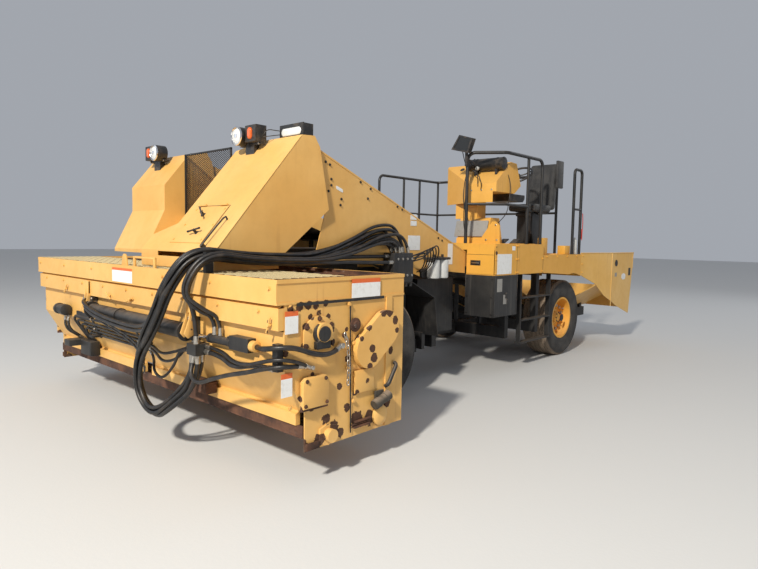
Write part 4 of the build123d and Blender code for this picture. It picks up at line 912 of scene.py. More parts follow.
# Name, diameter, points: across the face to the ends, then the far end's motor
FACE_HOSES = [
    ("end_thick", 0.034, [(1.7604, -3.868, 0.915), (1.830, -3.868, 0.915), (1.895, -3.900, 0.920),
                          (1.962, -3.924, 0.930), (2.029, -3.914, 0.941), (2.082, -3.874, 0.948),
                          (2.111, -3.816, 0.944), (2.113, -3.745, 0.922), (2.112, -3.665, 0.890),
                          (2.110, -3.585, 0.870), (2.106, -3.510, 0.868), (2.095, -3.448, 0.880),
                          (2.0765, -3.395, 0.902)]),
    ("end_upper", 0.026, [(1.2104, MANIFOLD_Y, 0.836), (1.400, MANIFOLD_Y, 0.836), (1.640, -3.930, 0.800),
                          (1.830, -3.945, 0.812), (1.940, -3.938, 0.845), (2.012, -3.918, 0.866),
                          (2.068, -3.886, 0.874), (2.100, -3.831, 0.866), (2.101, -3.765, 0.845),
                          (2.092, -3.705, 0.818), (2.077, -3.650, 0.792)]),
    ("end_lower", 0.030, [(1.152, -3.925, 0.7746), (1.152, -3.938, 0.715), (1.170, -3.962, 0.658),
                          (1.215, -3.970, 0.618), (1.275, -3.965, 0.606), (1.345, -3.957, 0.625),
                          (1.450, -3.952, 0.665), (1.640, -3.955, 0.722), (1.830, -3.950, 0.768),
                          (1.935, -3.935, 0.800), (2.007, -3.913, 0.818), (2.063, -3.881, 0.828),
                          (2.094, -3.825, 0.826), (2.089, -3.765, 0.820), (2.077, -3.712, 0.812)]),
    ("line_1", 0.022, [(0.3006, -3.8475, 0.734), (0.420, -3.860, 0.734), (0.640, -3.905, 0.700),
                       (0.880, -3.905, 0.760), (1.000, -3.868, 0.806), (1.0897, -3.864, 0.806)]),
    ("line_2", 0.022, [(0.3006, -3.833, 0.696), (0.430, -3.850, 0.690), (0.650, -3.900, 0.640),
                       (0.880, -3.900, 0.700), (1.000, -3.880, 0.830), (1.0897, -3.864, 0.836)]),
    ("line_3", 0.022, [(0.3006, -3.820, 0.658), (0.420, -3.850, 0.640), (0.560, -3.930, 0.560),
                       (0.700, -3.930, 0.520), (0.840, -3.910, 0.640), (0.930, -3.915, 0.770),
                       (1.020, -3.903, 0.790), (1.0897, -3.903, 0.790)]),
    ("diagonal_1", 0.014, [(-0.700, -3.868, 0.9996), (-0.690, -3.930, 0.985), (-0.600, -3.972, 0.940),
                           (-0.200, -3.972, 0.858), (0.200, -3.975, 0.806), (0.450, -3.985, 0.742),
                           (0.560, -4.000, 0.670), (0.578, -4.015, 0.620)]),
    ("diagonal_2", 0.014, [(-0.730, -3.868, 0.9996), (-0.720, -3.935, 0.970), (-0.600, -3.972, 0.910),
                           (-0.150, -3.970, 0.832), (0.220, -3.975, 0.775), (0.430, -3.985, 0.715),
                           (0.565, -4.000, 0.610), (0.580, -4.012, 0.560)]),
    ("far_1", 0.026, [(-1.330, -3.858, 0.802), (-1.330, -3.876, 0.735), (-1.302, -3.860, 0.660),
                      (-1.290, -3.800, 0.610), (-1.290, -3.735, 0.5605)]),
    ("far_2", 0.026, [(-1.400, -3.858, 0.802), (-1.400, -3.880, 0.730), (-1.370, -3.865, 0.655),
                      (-1.345, -3.805, 0.610), (-1.340, -3.735, 0.5605)]),
]


def make_hoses():
    """The frame's three hoses, the bundle beside them, those across the face, and thin ones at the valves."""
    for node, (length, route) in FRAME_HOSES.items():
        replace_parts(hose(node + "_line", route, sizes().hose, length), node)
    for name, diameter, before, route, across, above, first, last, after in BUNDLE:
        hose(name, before + beside(route, across, above, first, last) + after, diameter)
    for name, diameter, route in FACE_HOSES:
        hose(name, route, diameter)

    for k in range(TANGLE):
        start, y, top = 1.390 + 0.028 * (k % 3), -1.425 + 0.046 * k, 1.482 + 0.013 * k
        into = y + 0.165
        route = [(1.150, VALVE_BACK, start), (1.153, -1.515, start + 0.004),
                 (1.157, y - 0.045, start + 0.036), (1.160, y - 0.005, top - 0.014),
                 (1.156, y + 0.055, top + 0.006), (1.140, y + 0.112, top - 0.024),
                 (1.112, y + 0.150, top - 0.090), (1.060, into, 1.290 + 0.010 * k),
                 (panel_x(into) + 0.001, into, 1.270)]
        hose("tangle_" + str(k), route, 0.014, lay="loose")


# Sleeve on a hose's end: reach over the diameter, and distance from the end
NUT_SECTION = ((0.62, 0.0), (0.62, 0.020))
SLEEVE_SECTION = ((0.57, 0.020), (0.60, 0.030), (0.57, 0.040), (0.60, 0.050), (0.54, 0.058))
ELBOW_OFFSET = Vector((0.0, 0.012, 0.0))


def make_fittings():
    """A crimped sleeve and a hexagon nut at both ends of every hose; an elbow where one ends off a plate."""
    rows = [(sizes().hose, route) for length, route in FRAME_HOSES.values()]
    rows += [(row[1], row[2] + row[-1]) for row in BUNDLE]
    rows += [(diameter, route) for name, diameter, route in FACE_HOSES]
    sleeves = Shape()
    for diameter, route in rows:
        for end, inner in ((route[0], route[1]), (route[-1], route[-2])):
            end, aim = Vector(end), (Vector(inner) - Vector(end)).normalized()
            sleeves.lathe([(diameter * share, along) for share, along in NUT_SECTION], end, aim, 6, 0.002)
            sleeves.lathe([(diameter * share, along) for share, along in SLEEVE_SECTION], end, aim, 20)
        elbow, reach = Vector(route[-1]) + ELBOW_OFFSET, diameter * 0.6
        if elbow.x > END_X + 0.012:
            foot = (END_X + 0.0004, elbow.y, elbow.z)
            sleeves.lathe([(reach, 0.0), (reach, elbow.x - END_X + reach)], foot, (1, 0, 0), 6, 0.002)
    sleeves.piece("hose_fittings", "zinc")


# Wheels: sections are (radius, distance from the middle)
TYRE_SECTION = [(0.293, 0.150), (0.302, 0.168), (0.318, 0.178), (0.345, 0.188), (0.375, 0.193),
                (0.430, 0.1945), (0.465, 0.191), (0.490, 0.184), (0.508, 0.176), (0.518, 0.166),
                (0.523, 0.154), (0.5265, 0.135), (0.5275, 0.0)]
RIB_PLACES = (-0.128, -0.065, 0.0, 0.065, 0.128)
BLOCK_WIDTH, BLOCK_LENGTH, BLOCK_HEIGHT, BLOCK_R = 0.050, 0.037, 0.012, 0.5294
NUTS, NUT_CIRCLE, NUT_LIFT = 10, 0.165, 0.0165
HUB_BOLTS, HUB_CIRCLE = 8, 0.067
HUB_CAP = ((0.052, 0.0), (0.052, 0.004), (0.030, 0.010), (0.0, 0.011))
CAP_REACH, DISC_REACH = 0.110, 0.060


def make_tyre(node):
    """A carcass in place of the frame's plain tyre, and rows of tread blocks round it."""
    low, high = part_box(node)
    centre, body = (low + high) / 2, node.replace("tyre", "wheel")
    finish = "rubber_" + node
    section = TYRE_SECTION + [(radius, -side) for radius, side in reversed(TYRE_SECTION[:-1])]
    carcass = Shape().lathe(section + section[:1], centre, (1, 0, 0), 96)
    carcass = carcass.piece(node + "_carcass", finish, body)
    seeds = Seeds()
    blocks = sizes().tread_blocks
    for row, across in enumerate(RIB_PLACES):
        for k in range(blocks):
            angle = TAU * (k + 0.5 * (row % 2)) / blocks
            spot = centre + Vector((across, BLOCK_R * math.sin(angle), BLOCK_R * math.cos(angle)))
            seeds.add(spot, turn=-angle)
    grow(node + "_tread", seeds.mesh(node + "_tread"), tread_blocks, finish, body,
         width=BLOCK_WIDTH, length=BLOCK_LENGTH, height=BLOCK_HEIGHT)
    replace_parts(carcass, node)


def make_rim_parts(node):
    """Wheel nuts, hub bolts, a valve stem and a hub cap."""
    low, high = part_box(node)
    centre, body = (low + high) / 2, node.replace("rim", "wheel")
    side = 1 if centre.x > 0 else -1
    face = (high.x if side > 0 else -low.x) - CAP_REACH

    def around(count, circle, reach):
        return [(side * (face + reach), centre.y + circle * math.sin(TAU * k / count),
                 centre.z + circle * math.cos(TAU * k / count)) for k in range(count)]

    bolts(node + "_nuts", around(NUTS, NUT_CIRCLE, NUT_LIFT), (side, 0, 0), "zinc", body, 0.038)
    bolts(node + "_hub_bolts", around(HUB_BOLTS, HUB_CIRCLE, DISC_REACH), (side, 0, 0), "black", body, 0.018)
    stem = Vector((side * (face + 0.004), centre.y + 0.20, centre.z + 0.10))
    valve = Shape().rod(stem, stem + Vector((side * 0.030, 0.020, 0.010)), 0.005, 10)
    valve.piece(node + "_valve", "zinc", body)
    hub = (side * (face + CAP_REACH), centre.y, centre.z)
    Shape().lathe(HUB_CAP, hub, (side, 0, 0), 28).piece(node + "_cap", "black", body)


def make_wheels():
    for name in frame["nodes"]:
        if name.startswith("tyre_"):
            make_tyre(name)
        elif name.startswith("rim_"):
            make_rim_parts(name)


# Lamps on the hoods: clusters of (x, y, z, order), where the headlight sits on the side of -order
CLUSTERS = ((0.600, -3.080, 2.450, 1), (-0.900, -3.150, 2.415, -1))
HEAD_R, HEAD_SIDE = 0.078, 0.085
MARKER_SIDE, MARKER_HALF = 0.075, 0.070
LAMP_FRONT = -0.060
TOP_LAMP = ((0.850, -2.944, 2.400), (1.150, -2.840, 2.532))
BEZEL = ((HEAD_R - 0.002, 0.0), (HEAD_R + 0.002, 0.006), (HEAD_R, 0.014), (HEAD_R - 0.008, 0.018),
         (HEAD_R - 0.014, 0.010), (HEAD_R - 0.014, 0.0))
LENS = ((HEAD_R - 0.013, 0.003), (HEAD_R - 0.022, 0.010), (0.036, 0.015), (0.0, 0.017))
BULB = ((0.020, 0.013), (0.018, 0.019), (0.0, 0.022))


def capsule(centre, width, height, front, depth, points=10):
    """An oval outline standing out towards -Y, with a domed face."""
    cx, cz = centre
    r = min(width, height) / 2
    bm = bmesh.new()
    rings = []
    for share, lift in ((1.0, 0.0), (0.97, 0.6), (0.82, 0.9), (0.5, 1.0)):
        ring = []
        for k in range(4 * points):
            angle = TAU * (k + 0.5) / (4 * points)
            dx, dz = math.cos(angle), math.sin(angle)
            x = math.copysign(width / 2 - r, dx) + r * dx
            z = math.copysign(height / 2 - r, dz) + r * dz
            ring.append(bm.verts.new((cx + share * x, front - depth * lift, cz + share * z)))
        rings.append(ring)
    for one, two in zip(rings, rings[1:]):
        bridge(bm, one, two)
    bm.faces.new(rings[0][::-1])
    bm.faces.new(rings[-1])
    return Shape().add(bm)


def make_cluster(number, x, y, z, order):
    """A round headlight and an amber marker beside it."""
    tag, ahead = "_" + str(number), (0, -1, 0)
    head = Vector((x - order * HEAD_SIDE, y + LAMP_FRONT, z + 0.010))
    Shape().lathe(BEZEL, head, ahead, 48).piece("headlight_bezel" + tag, "chrome")
    Shape().lathe(LENS, head, ahead, 48).piece("headlight_lens" + tag, "clear")
    Shape().lathe(BULB, head, ahead, 24).piece("headlight_bulb" + tag, "chrome")
    marker = Vector((x + order * MARKER_SIDE, y - 0.030, z + 0.020))
    half = Vector((MARKER_HALF + 0.006, 0.0, MARKER_HALF))
    box = Shape().box(marker - half - Vector((0, 0.012, 0)), marker + half + Vector((0, 0.001, 0)), 0.006)
    box.piece("marker_box" + tag, "plastic")
    glass = capsule((marker.x, marker.z), 0.058, 0.098, marker.y - 0.012, 0.016)
    glass.piece("marker_lens" + tag, "amber", smooth=60)
    bolts("lamp_bolts" + tag, [(x + way * 0.13, y + 0.009, z - 0.060) for way in (-1, 1)], ahead, "zinc",
          width=0.016)


def make_lamps():
    """Both clusters, the lamp on the hood's top and its two cables."""
    for number, row in enumerate(CLUSTERS):
        make_cluster(number, *row)
    low, high = TOP_LAMP
    middle = ((low[0] + high[0]) / 2, (low[2] + high[2]) / 2 + 0.006)
    capsule(middle, 0.256, 0.064, low[1] + 0.001, 0.014).piece("top_lamp_lens", "clear", smooth=60)
    face = Shape().box((low[0] - 0.003, low[1] - 0.004, low[2] + 0.010),
                       (high[0] + 0.003, low[1] + 0.010, high[2] + 0.004), 0.005)
    face.piece("top_lamp_face", "plastic")
    near = CLUSTERS[0]
    for i, lift in enumerate((0.0, 0.030)):
        start = Vector((near[0] + 0.155, near[1] + 0.020, near[2] - 0.020 + lift * 0.5))
        route = [tuple(start), tuple(start + Vector((0.02, 0.002, 0.012))),
                 (0.790, -3.030, 2.445 + lift * 2.0), (0.815, -2.985 + lift, 2.455 + lift * 1.5),
                 (0.8465, -2.930 + lift, 2.466 + lift)]
        hose("lamp_cable_" + str(i), route, 0.007, finish="cable", stiffness="limp", lay="loose")


# The mesh guard and what shows through it, and the grate over the hopper
GUARD_LOW, GUARD_HIGH, GUARD_FACE = (-0.480, 1.800), (0.320, 2.395), -3.072
GUARD_BORDER = 0.016
SHROUD = [(-0.40, 1.72), (0.27, 1.72), (0.27, 2.22), (0.16, 2.28), (-0.30, 2.28), (-0.40, 2.20)]
FAN_X, FAN_Z, BLADES = -0.07, 1.98, 7
GUARD_HOSES = ((-0.34, 1.86, 0.14), (0.10, 1.84, -0.12), (0.18, 2.10, -0.10))
SHROUD_FACE = -2.7155
GRATE_LOW, GRATE_HIGH, GRATE_LEVEL = (-2.030, -3.880), (2.030, -3.250), 1.356
GRATE_CELL = (0.130, 0.065)


def make_guard():
    """Diamond mesh in its border, and the shroud, fan and hoses behind it."""
    (x0, z0), (x1, z1) = GUARD_LOW, GUARD_HIGH
    wide = sizes().guard_cell
    tall = wide * 0.55
    mesh = diamond_mesh("guard_mesh", (x0 + 0.004, GUARD_FACE + 0.008, z0 + 0.004), (wide, 0, 0),
                        (0, 0, tall), (int((x1 - x0) / wide), int((z1 - z0) / tall)))
    guard = grow("guard_mesh", mesh, bars, "black", width=0.0035, depth=0.0035)
    frame_bars = Shape()
    for low, high in (((x0, z0), (x1, z0 + GUARD_BORDER)), ((x0, z1 - GUARD_BORDER), (x1, z1)),
                      ((x0, z0), (x0 + GUARD_BORDER, z1)), ((x1 - GUARD_BORDER, z0), (x1, z1))):
        frame_bars.box((low[0], GUARD_FACE - 0.003, low[1]), (high[0], GUARD_FACE + 0.014, high[1]), 0.003)
    frame_bars.piece("guard_border", "black")
    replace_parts(guard, "mesh_guard")
    shroud = Shape()
    shroud.prism(SHROUD, 1, -2.715, -2.695)
    shroud.ring((FAN_X, -2.72, FAN_Z), (0, 1, 0), 0.235, 0.012, 48)
    shroud.piece("radiator_shroud", "deck")
    fan = Shape()
    fan.lathe([(0.060, 0.0), (0.060, 0.025), (0.030, 0.034), (0.0, 0.035)], (FAN_X, -2.716, FAN_Z),
              (0, -1, 0), 24)
    for k in range(BLADES):
        turn = Matrix.Rotation(TAU * k / BLADES, 4, "Y") @ Matrix.Rotation(0.5, 4, "Z")
        fan.box((0.05, -0.003, -0.045), (0.215, 0.003, 0.045), 0.001,
                Matrix.Translation((FAN_X, -2.722, FAN_Z)) @ turn)
    fan.piece("radiator_fan", "plastic")
    for i, (x, z, reach) in enumerate(GUARD_HOSES):
        route = [(x, SHROUD_FACE, z), (x, -2.780, z), (x + reach * 0.4, -2.845, z + 0.05),
                 (x + reach, -2.860, z + 0.16), (x + reach * 1.3, -2.800, z + 0.25),
                 (x + reach * 1.3, SHROUD_FACE, z + 0.25)]
        hose("guard_hose_" + str(i), route, 0.030)


def make_grate():
    """Expanded metal laid over the grate's bars."""
    (x0, y0), (x1, y1) = GRATE_LOW, GRATE_HIGH
    wide, deep = GRATE_CELL
    mesh = diamond_mesh("grate_mesh", (x0, y0, GRATE_LEVEL), (wide, 0, 0), (0, deep, 0),
                        (int((x1 - x0) / wide), int((y1 - y0) / deep)))
    grow("grate_mesh", mesh, bars, "grate", width=0.006, depth=0.003)


# What hangs on the hopper's front
FACE_TOP_Y, FACE_KNEE_Z, FACE_LOW_Y, FACE_LOW_Z = -3.836, 0.790, -3.670, 0.503
BAND_Y, SECOND_BAND_Y = -3.900, -3.884
STEMS = ((-1.283, 0.9), (-0.303, -0.5), (0.105, 0.35), (1.978, 1.25))
LINES, LINE_R, LINE_START, LINE_TOP, LINE_STEP = 5, 0.011, -1.000, 0.810, 0.038
TUBE_Y, TUBE_Z = -3.8943, 0.922
CYLINDER_Y, CYLINDER_Z = -3.868, 0.905
ARM_OUTLINE = [(-3.9003, 1.175), (-3.8845, 1.175), (-3.8825, 1.030), (-3.8825, 0.900), (-3.9250, 0.880),
               (-3.9550, 0.915), (-3.9150, 1.020)]
ARMS, ARM_THICK = ((-0.800, -0.735), (1.010, 1.075)), 0.012
T_HANDLE = ((0.0, 0.0), (0.007, 0.003), (0.008, 0.010), (0.006, 0.018), (0.006, 0.092), (0.008, 0.100),
            (0.007, 0.107), (0.0, 0.110))
CLAMPS, CLAMP_HALF = (-0.800, 0.100), 0.015
FAR_MOTOR = ((0.030, -0.012), (0.052, -0.010), (0.055, 0.0), (0.055, 0.030), (0.046, 0.034), (0.046, 0.120),
             (0.055, 0.124), (0.055, 0.200), (0.030, 0.210), (0.0, 0.212))


def face_point(z, off):
    """A point (y, z) off the hopper's front face, which slopes back below its knee."""
    if z > FACE_KNEE_Z:
        return FACE_TOP_Y - off, z
    run, fall = FACE_LOW_Y - FACE_TOP_Y, FACE_KNEE_Z - FACE_LOW_Z
    length = math.hypot(run, fall)
    y = FACE_TOP_Y + (FACE_KNEE_Z - z) * run / fall
    return y - off * fall / length, z - off * run / length


def make_t_handles():
    """A turned handle on each stem of the gate."""
    for i, (x, lean) in enumerate(STEMS):
        middle = Vector((x, SECOND_BAND_Y - 0.021, 1.075))
        reach = Vector((math.cos(lean), 0.0, math.sin(lean))) * 0.055
        handle = Shape().lathe(T_HANDLE, middle - reach, reach, 14)
        handle.lathe([(0.013, -0.014), (0.014, -0.004), (0.011, 0.008), (0.0, 0.009)], middle, (0, -1, 0), 16)
        handle.piece("t_handle_" + str(i), "yellow")


def make_front_gear():
    """Collars and yellow arms on the gate tube, and the ends of the cylinder beside it."""
    gear = Shape()
    for x in (-0.665, 1.000):
        gear.lathe([(0.058, -0.012), (0.074, -0.010), (0.074, 0.002), (0.050, 0.004), (0.046, 0.010),
                    (0.0, 0.012)],
                   (x, TUBE_Y, TUBE_Z), (1, 0, 0), 32)
    gear.collar(0.058, 0.066, 0.028, (-0.10, TUBE_Y, TUBE_Z))
    for x0, x1 in ((-0.86, -0.68), (1.005, 1.090)):
        gear.box((x0 - 0.012, -3.889, 1.000), (x1 + 0.012, -3.882, 1.034), 0.002)
    gear.piece("tube_collars", "black")
    arms = Shape()
    arms.collar(0.058, 0.070, 0.042, (0.600, TUBE_Y, TUBE_Z))
    for x0, x1 in ARMS:
        arms.slab(ARM_OUTLINE, x0, x0 + ARM_THICK)
        arms.slab(ARM_OUTLINE, x1 - ARM_THICK, x1)
        arms.box((x0, -3.9015, 1.060), (x1, -3.8845, 1.178), 0.003)
    arms.lathe([(0.020, 0.0), (0.036, 0.004), (0.036, 0.050), (0.020, 0.054)], (1.762, -3.8680, 0.915),
               (1, 0, 0), 24)
    arms.piece("gate_arms", "yellow")
    bolts("bracket_bolts", [(x, -3.889, 1.017) for x in (-0.845, -0.695, 1.02, 1.075)], (0, -1, 0), "zinc")
    cylinder = Shape()
    cylinder.collar(0.028, 0.034, 0.024, (1.272, CYLINDER_Y, CYLINDER_Z), sides=28)
    cylinder.collar(0.028, 0.034, 0.020, (1.528, CYLINDER_Y, CYLINDER_Z), sides=28)
    for x in (1.33, 1.50):
        cylinder.lathe([(0.012, 0.0), (0.012, 0.010), (0.009, 0.012)], (x, CYLINDER_Y, 0.932), (0, 0, 1), 6)
    cylinder.box((1.762, -3.884, 0.896), (1.800, -3.852, 0.934), 0.004)
    cylinder.piece("cylinder_caps", "black")
    rod = Shape().rod((1.0905, CYLINDER_Y, CYLINDER_Z), (1.273, CYLINDER_Y, CYLINDER_Z), 0.013, 20)
    rod.piece("cylinder_rod", "chrome")


def make_line_bends():
    """The hard lines turn down at their far end and go into a block; two clamps hold them."""
    lines = Shape()
    low = 0.566
    low_y = face_point(low, LINE_R + 0.0003)[0]
    for i in range(LINES):
        z = LINE_TOP - LINE_STEP * i
        y = face_point(z, LINE_R + 0.0003)[0]
        turn = LINE_START - 0.050 - 0.042 * (LINES - 1 - i)
        knee_y, knee_z = face_point(min(z - 0.03, FACE_KNEE_Z), LINE_R + 0.001)
        lines.tube([(LINE_START, y, z), (turn + 0.045, y, z), (turn + 0.010, y, z - 0.012),
                    (turn, knee_y, knee_z - 0.020), (turn, low_y, low)], LINE_R, 12)
    lines.piece("line_bends", "black")
    blocks = Shape()
    blocks.box((-1.245, -3.790, 0.420), (-1.000, -3.6965, 0.562), 0.008)
    blocks.box((-1.385, -3.895, 0.500), (-1.245, -3.704, 0.5605), 0.006)
    blocks.box((-0.86, -3.856, 0.640), (-0.78, -3.742, 0.660), 0.003)
    for x in CLAMPS:
        blocks.slab([face_point(0.828, 0.0005), face_point(0.640, 0.0005), face_point(0.640, 0.027),
                     face_point(0.828, 0.027)], x - CLAMP_HALF, x + CLAMP_HALF, 0.003)
    blocks.piece("line_blocks", "black")
    spots = [(x, *face_point(z, 0.027)) for x in CLAMPS for z in (0.815, 0.735, 0.655)]
    bolts("clamp_bolts", spots, (0, -1, 0.1), "zinc", width=0.018)
    motor = Shape().lathe(FAR_MOTOR, (-1.505, -3.8935, 0.857), (1, 0, 0), 32)
    for x in (-1.40, -1.33):
        motor.box((x - 0.016, -3.876, 0.802), (x + 0.016, -3.841, 0.830), 0.003)
    motor.piece("far_motor", "black")


def make_front_small():
    """Grease box, lifting lugs and their ring, a blank plate and the bands' bolts."""
    box = Shape().box((0.800, -3.790, 0.448), (1.080, -3.6965, 0.530), 0.006)
    box.box((0.790, -3.800, 0.524), (1.090, -3.690, 0.534), 0.003)
    box.piece("grease_box", "steel")
    lugs = Shape()
    lugs.prism([(-0.055, 1.350), (0.055, 1.350), (0.034, 1.432), (0.014, 1.450), (-0.014, 1.450),
                (-0.034, 1.432)], 1,
               -3.894, -3.882, 0.002)
    for x in (0.180, 0.520):
        lugs.box((x - 0.014, -3.897, 1.350), (x + 0.014, -3.880, 1.430), 0.003)
    lugs.box((0.166, -3.898, 1.420), (0.534, -3.879, 1.436), 0.003)
    lugs.piece("front_lugs", "yellow")
    Shape().ring((0.0, -3.888, 1.420), (0, 1, 0), 0.016, 0.004, 24).piece("lug_ring", "steel")
    plate("front_plate", (-0.219, BAND_Y - 0.0004, 1.212), (0.374, 0, 0), (0, 0, 0.118), strip=0.18)
    for name, y, z, first, step, count in (("band_bolts", SECOND_BAND_Y, 1.150, -1.85, 0.4625, 9),
                                           ("top_band_bolts", BAND_Y, 1.300, -1.98, 0.66, 7)):
        xs = [first + step * k for k in range(count)]
        bolts(name, [(x, y - 0.0003, z) for x in xs if z < 1.2 or abs(x) > 0.1], (0, -1, 0), "yellow",
              width=0.022)


# The hopper's end plates: outlines in (y, z), which stand off either end by (low, high)
ARCH_Y, ARCH_Z, ARCH_HALF, ARCH_RISE, ARCH_LOW = -3.5735, 1.010, 0.1285, 0.106, 0.905
ARCH = [(ARCH_Y - ARCH_HALF, ARCH_LOW), (ARCH_Y - ARCH_HALF, ARCH_Z)]
ARCH += [(ARCH_Y + ARCH_HALF * math.cos(math.pi - t), ARCH_Z + ARCH_RISE * math.sin(t))
         for t in [math.pi * k / 12 for k in range(1, 12)]]
ARCH += [(ARCH_Y + ARCH_HALF, ARCH_Z), (ARCH_Y + ARCH_HALF, ARCH_LOW)]
COVER = [(-3.719, 0.535), (-3.719, 0.708), (-3.694, 0.733), (-3.529, 0.733), (-3.504, 0.708), (-3.504, 0.535)]
MOTOR_Y, MOTOR_Z = -3.562, 1.002
END_MOTOR = ((0.066, 0.012), (0.066, 0.030), (0.058, 0.036), (0.050, 0.040), (0.050, 0.056), (0.034, 0.062),
             (0.0, 0.063))
LOWER_MOTOR = ((0.0, -0.004), (0.034, -0.002), (0.037, 0.004), (0.037, 0.050), (0.033, 0.054), (0.033, 0.110),
               (0.037, 0.114), (0.037, 0.160), (0.0, 0.166))
LOWER_MOTOR_ENDS = Vector((2.098, -3.075, 0.441)), Vector((2.098, -2.918, 0.493))
END_PIPE = ((2.061, -2.925, 0.545), (2.085, -2.913, 0.569), (2.086, -2.870, 0.635), (2.082, -2.832, 0.690),
            (2.061, -2.828, 0.705))
CHAIN_LINE = ((2.076, -3.345, 0.965), (2.080, -3.322, 0.880), (2.080, -3.314, 0.740), (2.076, -3.316, 0.610))
# Piece, lift off the plate, finish, width of the heads, and their places
END_BOLTS = (
    ("end_plate_bolts", 0.0004, "end", 0.024, ((-3.80, 1.185), (-3.30, 1.170), (-3.25, 0.90), (-3.25, 0.50),
                                               (-3.80, 0.560), (-3.30, 0.74))),
    ("end_cover_bolts", 0.034, "steel", 0.020, ((-3.700, 0.555), (-3.523, 0.555), (-3.690, 0.712),
                                                (-3.533, 0.712))),
    ("end_housing_bolts", 0.012, "steel", None, ((-3.682, 0.930), (-3.465, 0.930), (-3.676, 1.050),
                                                 (-3.471, 1.050), (-3.574, 1.098))),
    ("end_motor_bolts", 0.033, "zinc", 0.018, [(MOTOR_Y + 0.050 * math.cos(a), MOTOR_Z + 0.050 * math.sin(a))
                                               for a in (0.8, 2.37, 3.94, 5.51)]),
)
# Piece, low corner, width, height
END_PLATES = (("side_band_plate", -3.276, 1.208, 0.282, 0.128),
              ("end_plate_one", -3.841, 1.021, 0.102, 0.139), ("end_plate_two", -3.869, 0.633, 0.086, 0.146))


def end_place(side, y, z, out=0.0):
    return side * (END_X + out), y, z


def rectangle(y0, y1, z0, z1):
    return [(y0, z0), (y0, z1), (y1, z1), (y1, z0)]


def make_end(side):
    """Covers, motor, seams and rusted bars on one end."""
    tag, aim = "_left" if side > 0 else "_right", (side, 0, 0)

    def slab(shape, outline, low, high, bevel=0.003):
        return shape.slab(outline, side * (END_X + low), side * (END_X + high), bevel)

    housing = Shape()
    slab(housing, ARCH, 0.0004, 0.012)
    slab(housing, COVER, 0.0004, 0.034)
    slab(housing, rectangle(-3.244, -3.050, 0.546, 0.706), 0.0004, 0.010)
    housing.piece("end_covers" + tag, "end")
    dark = Shape().lathe(END_MOTOR, end_place(side, MOTOR_Y, MOTOR_Z), aim, 36)
    slab(dark, rectangle(-3.620, -3.504, 0.905, 0.955), 0.010, 0.046, 0.005)
    # Painted shadow: this thin black sheet under the top band stands in for the shade beneath its lip.
    slab(dark, rectangle(-3.750, -2.950, 1.187, 1.206), 0.0003, 0.0014, 0)
    slab(dark, [(-3.276, 0.280), (-3.294, 1.185), (-3.282, 1.185), (-3.264, 0.280)], 0.0003, 0.0012, 0)
    dark.piece("end_motor" + tag, "black")
    rust = Shape()
    slab(rust, rectangle(-3.722, -3.500, 0.518, 0.5352), 0.0004, 0.020, 0.002)
    slab(rust, rectangle(-3.675, -3.560, 0.252, 0.300), 0.0004, 0.012, 0.002)
    for k, (y0, y1, z) in enumerate(((-3.266, -3.085, 0.332), (-3.240, -3.077, 0.350),
                                     (-3.262, -3.100, 0.316))):
        slab(rust, [(y0, z - 0.005), (y0, z + 0.005), (y1, z + 0.008), (y1, z - 0.003)], 0.0004,
             0.014 + 0.008 * k, 0.001)
    rust.piece("end_rust_bars" + tag, "strip")


def make_left_end():
    """What the photograph shows on the left end alone."""
    aim = (1, 0, 0)
    steel = Shape()
    steel.lathe([(0.048, 0.0004), (0.048, 0.010), (0.030, 0.014), (0.028, 0.030), (0.0, 0.031)],
                end_place(1, -3.242, 1.025), aim, 28)
    steel.lathe([(0.026, 0.0004), (0.026, 0.012), (0.0, 0.013)], end_place(1, -2.95, 1.08), aim, 20)
    steel.piece("end_bearing_caps", "steel")
    start, stop = LOWER_MOTOR_ENDS
    motor = Shape().lathe(LOWER_MOTOR, start, stop - start, 28)
    motor.box((2.0604, -3.040, 0.420), (2.075, -2.950, 0.530), 0.003)
    motor.piece("lower_motor", "engine")
    cap = Shape().lathe([(0.072, 0.0004), (0.072, 0.016), (0.060, 0.026), (0.030, 0.030), (0.0, 0.031)],
                        end_place(1, -2.983, 0.347), aim, 32)
    cap.piece("lower_cap", "yellow")
    Shape().tube(END_PIPE, 0.015, 12).piece("end_pipe", "black")
    for name, y, z, wide, tall in END_PLATES:
        plate(name, end_place(1, y, z, 0.0004), (0, wide, 0), (0, 0, tall), strip=0.22)
    for name, lift, finish, width, places in END_BOLTS:
        bolts(name, [end_place(1, y, z, lift) for y, z in places], aim, finish, width=width)


def make_chains():
    """A short chain that hangs from a bolt on the end plate."""
    pitch = sizes().chain_pitch
    seeds = Seeds()
    spots = [Vector(place) for place in CHAIN_LINE]
    links = 0
    for one, two in zip(spots, spots[1:]):
        count = max(1, round((two - one).length / pitch))
        for n in range(count):
            seeds.add(one.lerp(two, n / count), (two - one).normalized(), TAU / 4 * (links % 2))
            links += 1
    grow("chain", seeds.mesh("chain"), chain_links, "zinc", pitch=pitch, wire=0.0036)
    bolts("chain_bolts", [(END_X + 0.0004, *CHAIN_LINE[0][1:])], (1, 0, 0), "steel", width=0.028)


def make_ends():
    make_end(1)
    make_left_end()
    make_end(-1)


# Hoods and side panels
SLOPE_LOW, SLOPE_HIGH = (-3.754, 1.506), (-2.964, 2.431)
HATCH_LEFT, HATCH_RIGHT, HATCH_LOW, HATCH_TOP = 0.436, 0.904, 0.048, 0.372
